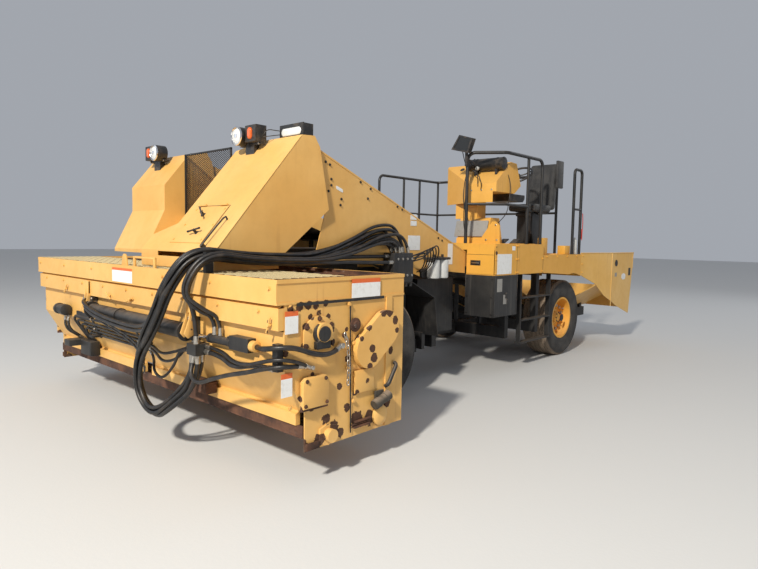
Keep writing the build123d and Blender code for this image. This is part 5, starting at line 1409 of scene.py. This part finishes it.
# Ends of each handle: x and share of the slope
HATCH_HANDLES = ((0.56, 0.330, 0.70, 0.250), (0.66, 0.115, 0.80, 0.150))
PANEL_TOP = ((-2.762, 2.346), (-0.234, 1.474))
PANEL_SLANT = 0.0894
FLASHING = ((0.0006, -0.012), (0.0030, -0.012), (0.0030, 0.003), (-0.030, 0.003), (-0.030, 0.0005),
            (0.0006, 0.0005))
PANEL_BOLTS = ((-2.670, 2.250), (-2.618, 2.232), (-2.598, 2.112), (-2.598, 2.061), (-2.631, 2.008),
               (-2.465, 1.951), (-2.476, 1.898), (-2.204, 2.120), (-2.057, 2.070), (-2.095, 1.979),
               (-1.627, 1.930), (-1.544, 1.905), (-0.850, 1.630), (-0.770, 1.602))
# Plates on the panel: y, z, width, height
PANEL_PLATES = ((-1.393, 1.812, 0.110, 0.056), (-1.391, 1.750, 0.110, 0.050), (-1.430, 1.500, 0.220, 0.150),
                (-0.640, 1.335, 0.105, 0.235))
PANEL_OVAL = (-2.535, 2.035)


def slope_place(x, share, off=0.0):
    """A point on the left hood's slope, off it by off; share runs from its low edge to its top."""
    run, rise = SLOPE_HIGH[0] - SLOPE_LOW[0], SLOPE_HIGH[1] - SLOPE_LOW[1]
    length = math.hypot(run, rise)
    return Vector((x, SLOPE_LOW[0] + share * run - off * rise / length,
                   SLOPE_LOW[1] + share * rise + off * run / length))


def panel_x(y):
    """Outer face of the left side panel, which closes in towards the rear."""
    return 1.1095 - PANEL_SLANT * (y + 2.6)


def make_hatch_parts():
    """Handles, hinge, latch, seams and bolts of the hatch in the left hood."""
    aim = slope_place(0, 0, 1) - slope_place(0, 0)
    for i, (x0, s0, x1, s1) in enumerate(HATCH_HANDLES):
        one, two = slope_place(x0, s0, 0.040), slope_place(x1, s1, 0.040)
        long = (two - one).length
        grip = [(0.0, 0.0), (0.008, 0.004), (0.009, 0.012), (0.007, 0.022), (0.007, long - 0.022),
                (0.009, long - 0.012), (0.008, long - 0.004), (0.0, long)]
        handle = Shape().lathe(grip, one, two - one, 14)
        handle.lathe([(0.020, -0.041), (0.020, -0.034), (0.011, -0.030), (0.011, 0.004), (0.0, 0.006)],
                     (one + two) / 2, aim, 18)
        handle.piece("hatch_handle_" + str(i), "black", "hood_hatch")
    hinge = Shape()
    for x in (0.52, 0.82):
        hinge.rod(slope_place(x - 0.05, HATCH_TOP, 0.010), slope_place(x + 0.05, HATCH_TOP, 0.010), 0.008, 14)
    hinge.piece("hatch_hinge", "hood")
    latch = Shape().tube([slope_place(0.985, 0.012, 0.030), slope_place(0.995, 0.02, 0.034),
                          slope_place(1.013, 0.235, 0.034), slope_place(1.013, 0.243, 0.004)], 0.007, 10, 3)
    latch.lathe([(0.016, -0.031), (0.016, 0.004), (0.0, 0.006)], slope_place(0.985, 0.02, 0.030), aim, 16)
    latch.piece("hood_latch", "black")
    seams = Shape()
    corners = ((HATCH_LEFT, HATCH_LOW), (HATCH_LEFT, HATCH_TOP), (HATCH_RIGHT, HATCH_LOW),
               (HATCH_RIGHT, HATCH_TOP))
    for (x0, s0), (x1, s1) in ((corners[0], corners[1]), (corners[2], corners[3]), (corners[1], corners[3])):
        line = [slope_place(x0 + (x1 - x0) * k / 12, s0 + (s1 - s0) * k / 12, 0.0006) for k in range(13)]
        for one, two in zip(line, line[1:]):
            seams.rod(one, two, 0.0022, 6)
    seams.piece("hatch_seams", "black")
    spots = [slope_place(x, s, 0.004) for x in (0.465, 0.875) for s in (0.075, 0.20, 0.335)]
    bolts("hatch_bolts", spots, aim, "hood", "hood_hatch", 0.018)


def make_panel_parts():
    """Flashing, bolts and blank plates on the left side panel."""
    strip = Shape()
    for side in (1, -1):
        bm = bmesh.new()
        corners = [[bm.verts.new((side * (panel_x(y) + dx), y,
                                  z + dz)) for dx, dz in FLASHING] for y, z in PANEL_TOP]
        bridge(bm, *corners)
        bm.faces.new(corners[0])
        bm.faces.new(corners[1][::-1])
        strip.add(bm)
    strip.piece("panel_flashing", "yellow")

    def on_panel(y, z):
        return panel_x(y) + 0.0004, y, z

    bolts("panel_bolts", [on_panel(*spot) for spot in PANEL_BOLTS], (1.0, PANEL_SLANT, 0.0), "black",
          width=0.018)
    for i, (y, z, wide, tall) in enumerate(PANEL_PLATES):
        plate("panel_plate_" + str(i), on_panel(y, z), (-PANEL_SLANT * wide, wide, 0), (0, 0, tall))
    plate("panel_oval", on_panel(*PANEL_OVAL), (-PANEL_SLANT * 0.09, 0.09, -0.030), (0, 0, 0.030),
          radius=0.22)


def make_front_seam():
    """Folded lip down the left hood's near edge."""
    lip = [slope_place(1.158, share, 0.001) for share in (0.02, 0.5, 0.985)]
    Shape().tube(lip, 0.005, 8, 1).piece("hood_lip", "hood")


# Deck, tool box and valve block
DECK_X, BOX_X = 1.2954, 1.3008
DECK_PLATES = ((-0.168, 1.224, 0.321, 0.234), (0.160, 1.500, 0.070, 0.050))
# Tread plate: piece, low corner, cells
TREAD_CELL = (0.060, 0.030)
TREADS = (("deck_tread", (0.93, -0.18, 1.5775), (5, 34)), ("entry_tread", (0.62, 1.00, 1.4412), (10, 34)))
BOX_PLATES = ((-0.165, 1.020, 0.110, 0.150), (-0.020, 0.870, 0.070, 0.110))


def make_deck_parts():
    """Door latch and slot, seams, blank plates, bolts and tread plate."""
    door = "deck_box_door"
    # Painted shade: the black sheet stands in for the shade inside the latch's recess, which is not cut into
    # the door.
    Shape().box((0.967, -0.2292, 1.320), (1.106, -0.2262, 1.380), 0.004).piece("door_recess", "black", door)
    Shape().box((0.985, -0.2330, 1.344), (1.088, -0.2290, 1.354), 0.0015).piece("door_latch", "zinc", door)
    Shape().box((0.920, -0.2270, 1.446), (1.280, -0.2260, 1.450), 0.0).piece("door_slot", "black", door)
    side = Shape()
    side.box((1.2950, 0.281, 1.215), (1.2962, 0.285, 1.570), 0.0)
    side.box((1.2950, 0.945, 1.215), (1.2962, 0.949, 1.435), 0.0)
    side.piece("deck_seams", "black")
    for i, (y, z, wide, tall) in enumerate(DECK_PLATES):
        plate("deck_plate_" + str(i), (DECK_X, y, z), (0, wide, 0), (0, 0, tall))
    plate("deck_front_plate", (0.985, -0.2204, 1.225), (0.150, 0, 0), (0, 0, 0.050))
    spots = [(DECK_X, y, z) for y in (-0.205, 0.262, 0.305, 0.925) for z in (1.235, 1.395, 1.555)]
    bolts("deck_bolts", [spot for spot in spots if spot[2] < 1.5 or spot[1] < 0.9], (1, 0, 0), "deck",
          width=0.020)
    bolts("entry_bolts", [(DECK_X, y, 1.415) for y in (1.05, 1.35, 1.65, 1.95)], (1, 0, 0), "deck",
          width=0.020)
    wide, deep = TREAD_CELL
    for name, corner, cells in TREADS:
        mesh = diamond_mesh(name, corner, (wide, 0, 0), (0, deep, 0), cells)
        grow(name, mesh, bars, "deck", width=0.005, depth=0.003)


def make_tool_box_parts():
    """Trim, latch, blank plates and bolts of the tool box and its door."""
    trim = Shape()
    for y0, y1, z0, z1 in ((-0.222, 0.292, 1.190, 1.204), (-0.222, 0.292, 0.730, 0.744),
                           (-0.222, -0.208, 0.744, 1.190), (0.278, 0.292, 0.744, 1.190)):
        trim.box((BOX_X, y0, z0), (1.3050, y1, z1), 0.0015)
    trim.box((BOX_X, 0.020, 0.935), (1.3130, 0.060, 1.000), 0.004)
    trim.tube([(1.312, 0.028, 0.925), (1.326, 0.028, 0.925), (1.326, 0.028, 0.870), (1.318, 0.028, 0.862)],
              0.005, 8, 2)
    trim.piece("box_door_trim", "box", "tool_box_door")
    for i, (y, z, wide, tall) in enumerate(BOX_PLATES):
        plate("box_plate_" + str(i), (1.3012, y, z), (0, wide, 0), (0, 0, tall), "grey", body="tool_box_door")
    spots = [(x, -0.2304, z) for x in (0.93, 1.27) for z in (0.76, 0.96, 1.17)]
    bolts("box_bolts", spots, (0, -1, 0), "black", width=0.020)


VALVES, VALVE_FIRST, VALVE_STEP = 4, -1.815, 0.070
CAN_X, CAN_YS, CAN_R, CAN_LOW, CAN_TOP = 1.030, (-1.025, -0.868), 0.068, 1.197, 1.398


def make_valves():
    """Valve block, its solenoids and caps, and the two white filters, in place of the frame's plain forms."""
    block = Shape()
    block.box((1.048, -1.848, 1.188), (1.188, -1.562, 1.478), 0.008)
    for k in range(VALVES):
        y = VALVE_FIRST + VALVE_STEP * k
        block.box((1.182, y, 1.215), (1.190, y + 0.045, 1.455), 0.004)
        block.lathe([(0.018, 0.0), (0.018, 0.034), (0.010, 0.038), (0.0, 0.039)], (1.172, y + 0.022, 1.150),
                    (0, 0, 1), 18)
    block.piece("valve_block", "black")
    caps = Shape()
    for k in range(VALVES):
        for z in (1.420, 1.260):
            caps.lathe([(0.013, 0.0), (0.013, 0.006), (0.009, 0.008), (0.0, 0.009)],
                       (1.190, VALVE_FIRST + 0.022 + VALVE_STEP * k, z), (1, 0, 0), 6)
    caps.piece("valve_caps", "zinc")
    cans, heads = Shape(), Shape()
    heads.box((0.962, -1.136, CAN_TOP), (1.095, -0.800, 1.424), 0.006)
    heads.box((0.930, -1.136, 1.205), (0.962, -0.800, 1.430), 0.004)
    tall = CAN_TOP - CAN_LOW
    section = [(0.0, 0.0), (CAN_R - 0.010, 0.0), (CAN_R - 0.002, 0.006), (CAN_R, 0.016),
               (CAN_R, tall - 0.012), (CAN_R - 0.004, tall - 0.004), (CAN_R - 0.008, tall)]
    for y in CAN_YS:
        cans.lathe(section, (CAN_X, y, CAN_LOW), (0, 0, 1), 36)
        heads.lathe([(0.016, 0.0), (0.016, 0.030), (0.0, 0.032)], (CAN_X, y, 1.424), (0, 0, 1), 6)
    white = cans.piece("filters", "white")
    heads.piece("filter_heads", "black")
    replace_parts(white, "filters_and_valves")


# Console, display and controls
WHEEL_PLACE, WHEEL_TILT = (1.010, 0.725, 2.450), math.radians(35.0)


# Cables of the console: from the display, the cowl and the panel
CONSOLE_CABLES = (
    [(0.862, -0.2305, 2.620), (0.840, -0.150, 2.640), (0.790, -0.080, 2.600), (0.780, -0.020, 2.540),
     (0.800, 0.038, 2.500)],
    [(0.876, -0.2305, 2.560), (0.900, -0.140, 2.560), (0.930, -0.090, 2.460), (0.930, -0.075, 2.380),
     (0.930, -0.0584, 2.250)],
    [(0.800, -0.2245, 2.700), (0.800, -0.190, 2.600), (0.838, -0.165, 2.450), (0.845, -0.165, 2.200),
     (0.800, -0.150, 2.000), (0.740, -0.060, 1.800), (0.710, 0.030, 1.680), (0.700, 0.066, 1.620)],
    [(0.790, 0.035, 2.470), (0.830, -0.030, 2.450), (0.930, -0.100, 2.420), (1.000, -0.110, 2.320),
     (0.990, -0.075, 2.250), (0.970, -0.0584, 2.215)],
    [(0.740, 0.060, 2.480), (0.720, 0.010, 2.440), (0.700, -0.010, 2.300), (0.700, -0.030, 2.100),
     (0.720, 0.020, 1.920), (0.700, 0.110, 1.850), (0.680, 0.128, 1.840)],
    [(1.100, 0.150, 2.470), (1.150, 0.200, 2.450), (1.185, 0.240, 2.350), (1.190, 0.250, 2.200),
     (1.188, 0.220, 2.080), (1.150, 0.260, 1.950), (1.060, 0.250, 1.850), (0.985, 0.230, 1.780)],
)
COWL_CENTRE = 0.110, 2.530
KNOB = ((0.010, 0.0), (0.010, 0.018), (0.021, 0.022), (0.024, 0.032), (0.021, 0.042), (0.0, 0.046))
GAUGE_LEAN = Vector((0.0, -0.633, 0.774))
DISPLAY = ((0.804, 2.839), (0.993, 2.783), (0.930, 2.621), (0.694, 2.678))
DISPLAY_Y, DISPLAY_MIDDLE = -0.2854, Vector((0.85525, 2.73025))


def tilted(place, angle):
    """A turn about a line across the machine that passes through a place."""
    return Matrix.Translation(place) @ Matrix.Rotation(angle, 4, "X") @ Matrix.Translation(-Vector(place))


def make_console_parts():
    """Caps and knob of the cowl, panel, gauges, switches, bolts and cables."""
    caps = Shape()
    for x, way in ((0.716, -1), (1.166, 1)):
        caps.lathe([(0.070, -0.002), (0.073, 0.002), (0.073, 0.012), (0.060, 0.018), (0.0, 0.020)],
                   (x, *COWL_CENTRE), (way, 0, 0), 32)
    for x in (0.80, 1.085):
        caps.lathe([(0.0705, 0.0), (0.0735, 0.002), (0.0735, 0.020), (0.0705, 0.022)], (x, *COWL_CENTRE),
                   (1, 0, 0), 32)
    caps.piece("cowl_caps", "plastic")
    Shape().lathe(KNOB, (0.860, 0.052, 2.490), (0, -1, -0.4), 24).piece("cowl_knob", "white")
    panel = Shape().box((0.520, 0.0560, 1.660), (0.985, 0.0705, 1.862), 0.004,
                        tilted((0, 0.055, 1.66), -0.250))
    panel.piece("console_panel", "grey")
    gauges = Shape()
    for x in (0.52, 0.62, 0.72):
        gauges.lathe([(0.030, -0.004), (0.030, 0.004), (0.026, 0.007), (0.023, 0.004), (0.0, 0.004)],
                     (x, 0.205, 2.500), GAUGE_LEAN, 28)
    gauges.piece("gauges", "plastic")
    switches = Shape()
    for k in range(6):
        x = 0.46 + 0.06 * k
        switches.box((x - 0.012, 0.340, 2.556), (x + 0.012, 0.372, 2.568), 0.003)
    for x in (0.50, 0.62):
        switches.lathe([(0.006, 0.0), (0.005, 0.060), (0.013, 0.064), (0.016, 0.076), (0.010, 0.088),
                        (0.0, 0.090)],
                       (x, 0.300, 2.554), (0.05, 0.2, 1.0), 16)
    switches.piece("console_switches", "plastic")
    bolts("console_bolts", [(x, -0.0584, 2.210) for x in (0.84, 0.98, 1.12)], (0, -1, 0), "zinc", width=0.016)
    spots = [(x, 0.0398, z) for x, z in ((1.00, 1.62), (1.15, 1.62), (1.13, 1.80))]
    bolts("gusset_bolts", spots, (0, -1, 0), "zinc", width=0.018)
    for i, route in enumerate(CONSOLE_CABLES):
        hose("console_cable_" + str(i), route, 0.010, finish="cable", stiffness="limp", lay="loose")


def make_display_parts():
    """A bezel on the tilted display, with a dark face."""
    corners = [Vector(corner) for corner in DISPLAY]
    inner = [DISPLAY_MIDDLE + (c - DISPLAY_MIDDLE) * 0.80 for c in corners]
    screen = [DISPLAY_MIDDLE + (c - DISPLAY_MIDDLE) * 0.79 for c in corners]
    bm = bmesh.new()
    loops = [[bm.verts.new((x, DISPLAY_Y + off, z)) for x, z in ring] for ring, off in
             ((corners, 0.0), (corners, -0.008), (inner, -0.008), (inner, -0.002))]
    for one, two in zip(loops, loops[1:]):
        bridge(bm, one, two)
    bm.faces.new(loops[0])
    bm.faces.new(loops[-1])
    bezel = Shape()
    bezel.add(bm)
    bezel.piece("display_bezel", "plastic")
    face = Shape().prism([tuple(corner) for corner in screen], 1, -0.2882, -0.2872, 0)
    face.piece("display_screen", "glass")


def make_steering_wheel():
    """Round rim with finger grips, three spokes, a hub and its column, in place of the frame's wheel."""
    place = Matrix.Translation(WHEEL_PLACE) @ Matrix.Rotation(WHEEL_TILT, 4, "X")
    wheel = Shape()
    rim = [place @ Vector((across, up, 0)) for across, up in circle(0.188, 48)]
    wheel.tube(rim, 0.0135, 10, 1, True)
    for k in range(3):
        a = TAU * k / 3 + 0.5
        line = ((0.030, -0.012), (0.100, -0.014), (0.182, 0))
        ends = [place @ Vector((r * math.cos(a), r * math.sin(a), h)) for r, h in line]
        wheel.tube(ends, 0.009, 10, 3)
    axis = place.to_3x3() @ Vector((0, 0, 1))
    wheel.lathe([(0.0, -0.030), (0.032, -0.028), (0.036, -0.010), (0.034, 0.004), (0.020, 0.010),
                 (0.0, 0.011)], WHEEL_PLACE,
                axis, 32)
    low = Vector((1.010, 0.5445, 2.1876))
    wheel.rod(low, WHEEL_PLACE, 0.022, 24)
    wheel.lathe([(0.030, 0.02), (0.034, 0.03), (0.030, 0.04), (0.035, 0.05), (0.030, 0.06), (0.034, 0.07),
                 (0.027, 0.085)],
                low, Vector(WHEEL_PLACE) - low, 28)
    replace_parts(wheel.piece("steering_wheel_rim", "plastic"), "steering_wheel")


def make_controls():
    """Lever box with a bellows and two levers beside the seat, and pedals below the console."""
    box = Shape().box((1.205, 0.955, 1.4402), (1.262, 1.120, 1.660), 0.006)
    box.box((1.150, 1.640, 1.4402), (1.262, 1.800, 1.560), 0.006)
    box.piece("lever_box", "deck")
    bellows = Shape()
    profile = []
    for fold in range(12):
        wide = 0.045 - 0.0015 * fold
        profile += [(wide, 0.012 * fold), (wide - 0.012, 0.012 * fold + 0.006)]
    bellows.lathe([(0.0, -0.002)] + profile + [(0.0, 0.146)], (1.140, 0.880, 1.5765), (0, 0, 1), 24)
    bellows.rod((1.140, 0.880, 1.700), (1.128, 0.865, 1.980), 0.008, 14)
    bellows.lathe([(0.008, 0.0), (0.020, 0.010), (0.024, 0.028), (0.016, 0.044), (0.0, 0.048)],
                  (1.128, 0.865, 1.975), (0, 0, 1), 20)
    bellows.piece("lever_bellows", "plastic")
    pedals = Shape()
    for x in (0.90, 1.06):
        pedals.box((x - 0.045, 0.560, 1.600), (x + 0.045, 0.690, 1.612), 0.003, tilted((0, 0.62, 1.60), 0.45))
        pedals.rod((x, 0.600, 1.5765), (x, 0.615, 1.612), 0.010, 12)
    pedals.piece("pedals", "black")


# Seat: two padded covers, blown up a little by cloth over stitched seams
PAD_VOXEL, PAD_FRAMES, PAD_PRESSURE, PAD_LIMIT = 0.008, 20, 4.0, 0.024
BACKREST = [(1.354, 2.040), (1.446, 2.040), (1.522, 2.580), (1.524, 2.662), (1.446, 2.662), (1.366, 2.320)]


def plump(name, body, seams):
    """Remeshes a closed cover and inflates it, held at its seams; the move is capped."""
    thing = body.piece(name, "seat")
    remesh = thing.modifiers.new("remesh", "REMESH")
    remesh.mode, remesh.voxel_size = "VOXEL", PAD_VOXEL
    keep_mesh(thing)
    rest = [v.co.copy() for v in thing.data.vertices]
    group = thing.vertex_groups.new(name="held")
    for v in thing.data.vertices:
        if seams(v.co):
            group.add([v.index], 1.0, "REPLACE")
    cloth = thing.modifiers.new("cloth", "CLOTH")
    cloth.settings.vertex_group_mass = "held"
    cloth.settings.use_pressure = True
    cloth.settings.uniform_pressure_force = PAD_PRESSURE
    cloth.settings.effector_weights.gravity = 0.0
    cloth.settings.mass = 0.3
    cloth.point_cache.frame_start, cloth.point_cache.frame_end = 1, PAD_FRAMES
    for number in range(1, PAD_FRAMES + 1):
        bpy.context.scene.frame_set(number)
    keep_mesh(thing)
    for v, start in zip(thing.data.vertices, rest):
        move = v.co - start
        if move.length > PAD_LIMIT:
            v.co = start + move * (PAD_LIMIT / move.length)
    bpy.context.scene.frame_set(1)
    thing.modifiers.new("smooth", "SUBSURF").levels = 1
    keep_mesh(thing)
    soften(thing, 60.0)
    return thing


def keep_mesh(thing):
    """Applies an object's modifiers to its mesh."""
    made = bpy.data.meshes.new_from_object(thing.evaluated_get(bpy.context.evaluated_depsgraph_get()))
    thing.modifiers.clear()
    thing.data = made


def seam(distance, width=0.006):
    return abs(distance) < width


def cushion_seams(co):
    return co.z < 2.010 or seam(abs(co.x - 0.991) - 0.115) or seam(co.y - 1.100)


def back_seams(co):
    return co.y > 1.430 + (co.z - 2.04) * 0.14 or seam(abs(co.x - 0.995) - 0.115) or seam(co.z - 2.34)


def make_seat():
    """Padded cushion and backrest, armrest pad, slides and bolts."""
    cushion = Shape().box((0.792, 0.884, 2.0015), (1.190, 1.336, 2.096), 0.030)
    backrest = Shape().prism(BACKREST, 0, 0.800, 1.190, 0.028)

    covers = plump("seat_cushion", cushion, cushion_seams)
    plump("seat_backrest", backrest, back_seams)
    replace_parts(covers, "seat_pads")
    arm = Shape().box((1.203, 1.385, 2.330), (1.243, 1.550, 2.695), 0.016)
    arm.piece("arm_pad", "seat")
    small = Shape()
    small.lathe([(0.014, 0.0), (0.014, 0.090), (0.0, 0.092)], (1.090, 1.05, 1.996), (0.6, 0, -0.25), 16)
    small.box((0.885, 0.930, 1.940), (1.095, 0.978, 1.985), 0.004)
    small.piece("seat_slides", "black")
    bolts("seat_bolts", [(x, 1.000, 1.4404) for x in (0.90, 1.08)], (0, 0, 1), "zinc")


# The receiving hopper at the rear
FLANK_X, FOLD_Y, FLANK_FRONT, FLANK_TOP = 1.400, 3.000, (1.295, 2.100), 1.456
# Plates on the flank: piece, off it, low corner, width, height, finish, radius
REAR_PLATES = (("rear_round", 0.0044, 3.100, 1.250, 0.110, 0.100, "black", 0.5),
               ("rear_oval", 0.0004, 3.400, 1.030, 0.170, 0.100, "plate", 0.45),
               ("rear_mark", 0.0004, 3.690, 1.090, 0.090, 0.120, "black", 0.0),
               ("rear_small", 0.0004, 3.120, 1.090, 0.080, 0.060, "grey", 0.0))
BOTTLE = ((0.0, 0.0), (0.030, 0.002), (0.034, 0.012), (0.034, 0.190), (0.028, 0.202), (0.012, 0.212),
          (0.012, 0.236), (0.0, 0.238))


def make_rear():
    """Hems, plates, bolts, a red strap and a bottle."""
    hem = Shape()
    x0, y0 = FLANK_FRONT
    for side in (1, -1):
        x = side * FLANK_X
        inner = side * (FLANK_X - 0.002)
        hem.tube([(side * (x0 + 0.001), y0 + 0.01, FLANK_TOP), (inner, FOLD_Y, FLANK_TOP),
                  (inner, 3.896, FLANK_TOP)],
                 0.008, 8, 1)
        hem.box((x - 0.004, FOLD_Y - 0.012, 0.640), (x + 0.004, FOLD_Y + 0.012, 1.450), 0.002)
        hem.box((x - 0.003, 3.862, 1.20), (x + 0.003, 3.878, 1.448), 0.002)
    hem.piece("rear_hem", "tub")
    for name, off, y, z, wide, tall, finish, radius in REAR_PLATES:
        plate(name, (FLANK_X + off, y, z), (0, wide, 0), (0, 0, tall), finish, radius=radius)
    bolts("rear_bolts", [(1.300467, 2.14, z) for z in (1.18, 1.30, 1.42)], (1, -0.117, 0), "tub",
          width=0.022)
    strap = Shape()
    strap.tube([(1.287, 2.106, 2.020), (1.292, 2.112, 1.900), (1.290, 2.108, 1.760), (1.288, 2.104, 1.640)],
               0.006, 8, 4)
    strap.box((1.240, 2.1015, 1.660), (1.292, 2.118, 1.800), 0.004)
    strap.piece("rear_strap", "red")
    Shape().lathe(BOTTLE, (1.225, 2.02, 1.4403), (0, 0, 1), 24).piece("rear_bottle", "white")


# Lights: name, place, target, size, power, tint
LIGHTS = (("key", (6.2, -14.5, 10.5), (0.4, -1.5, 1.0), 1.0, 3300.0, (1.0, 0.94, 0.84)),
          ("fill", (-8.0, -11.0, 5.0), (0.0, -1.0, 1.0), 9.0, 160.0, (0.86, 0.92, 1.0)),
          ("back", (4.0, 13.0, 8.0), (0.0, 0.0, 1.0), 8.0, 160.0, (0.90, 0.94, 1.0)))
SKY, SKY_POWER = (0.86, 0.91, 1.0, 1.0), 0.42


def make_studio():
    """Pale floor, even sky and a low sun from behind the camera."""
    mesh = bpy.data.meshes.new("floor")
    floor = Shape().box((-60, -60, -0.05), (60, 60, -0.001), 0.0)
    floor.bm.to_mesh(mesh)
    floor.bm.free()
    thing = bpy.data.objects.new("floor", mesh)
    bpy.context.scene.collection.objects.link(thing)
    material, g, point = new_material("pale_floor")
    base = paint("floor")
    shade = g.mix(g.noise(point, 0.6, 3.0) * 0.2, base, toned(base, 0.93, 0.93, 0.93))
    g.surface(shade, 0.85, g.noise(point, 40.0, 4.0) * 0.0008)
    mesh.materials.append(material)
    world = bpy.data.worlds.new("studio")
    world.use_nodes = True
    g = Graph(world.node_tree)
    light = g.node("ShaderNodeBackground", None, {"Color": SKY, "Strength": SKY_POWER})
    g.node("ShaderNodeOutputWorld", None, {"Surface": light})
    bpy.context.scene.world = world
    for name, place, target, size, power, tint in LIGHTS:
        data = bpy.data.lights.new(name, "AREA")
        data.shape = "DISK"
        data.size, data.energy, data.color = size, power, tint
        lamp = bpy.data.objects.new(name, data)
        aim = (Vector(target) - Vector(place)).to_track_quat("-Z", "Y")
        lamp.matrix_world = Matrix.Translation(Vector(place)) @ aim.to_matrix().to_4x4()
        bpy.context.scene.collection.objects.link(lamp)
    bpy.context.scene.view_settings.view_transform = "Standard"


# One operator for each group of pieces
def operator(name, label, text, *makers):
    def execute(self, context):
        for make in makers:
            make()
        return {"FINISHED"}
    return type("SPREADER_OT_" + name, (bpy.types.Operator,),
                {"__doc__": text, "bl_idname": "spreader." + name, "bl_label": label, "execute": execute})


STAGES = (
    operator("camera", "Camera", "Sets the camera where the photograph was taken", make_camera),
    operator("finishes", "Finishes", "Makes the finishes and gives every node of the frame its own",
             dress_nodes),
    operator("hoses", "Hoses", "Hydraulic hoses and their fittings", make_hoses, make_fittings),
    operator("wheels", "Wheels", "Tyres, tread, nuts and hub bolts", make_wheels),
    operator("lamps", "Lamps", "Headlights, markers and their cables", make_lamps),
    operator("guard", "Guard and grate", "Mesh guard, what shows through it, and the grate", make_guard,
             make_grate),
    operator("front", "Hopper front", "Handles, collars, lines and blocks on the hopper's front",
             make_t_handles, make_front_gear, make_line_bends, make_front_small),
    operator("ends", "Hopper ends", "Covers, motors, plates and chains on the end plates", make_ends,
             make_chains),
    operator("hoods", "Hoods and panels", "Hatch handles, latch, flashing, bolts and plates",
             make_hatch_parts, make_panel_parts, make_front_seam),
    operator("deck", "Deck and boxes", "Door handles, seams, plates, tread plate, valve block and filters",
             make_deck_parts, make_tool_box_parts, make_valves),
    operator("console", "Console", "Cowl caps, gauges, levers, cables, display and steering wheel",
             make_console_parts, make_display_parts, make_steering_wheel, make_controls),
    operator("seat", "Seat", "Padded covers, arm pad and slides", make_seat),
    operator("rear", "Rear hopper", "Hems, plates and small parts at the rear", make_rear),
    operator("studio", "Studio", "Pale floor and light", make_studio),
)


class SPREADER_PT_panel(bpy.types.Panel):
    """Lists the stages of the dressed spreader"""
    bl_label = "Chip Spreader"
    bl_idname = "SPREADER_PT_panel"
    bl_space_type = "VIEW_3D"
    bl_region_type = "UI"
    bl_category = "Spreader"

    def draw(self, context):
        layout = self.layout
        for group in (context.scene.spreader_sizes, context.scene.spreader_colours):
            for key in group.__annotations__:
                layout.prop(group, key)
        for each in STAGES:
            layout.operator(each.bl_idname)


CLASSES = (SpreaderSizes, SpreaderColours, *STAGES, SPREADER_PT_panel)


def register():
    for each in CLASSES:
        bpy.utils.register_class(each)
    bpy.types.Scene.spreader_sizes = bpy.props.PointerProperty(type=SpreaderSizes)
    bpy.types.Scene.spreader_colours = bpy.props.PointerProperty(type=SpreaderColours)


def unregister():
    del bpy.types.Scene.spreader_colours
    del bpy.types.Scene.spreader_sizes
    for each in reversed(CLASSES):
        bpy.utils.unregister_class(each)


def main():
    register()
    for each in STAGES:
        group, name = each.bl_idname.split(".")
        getattr(getattr(bpy.ops, group), name)()


if __name__ == "__main__":
    main()
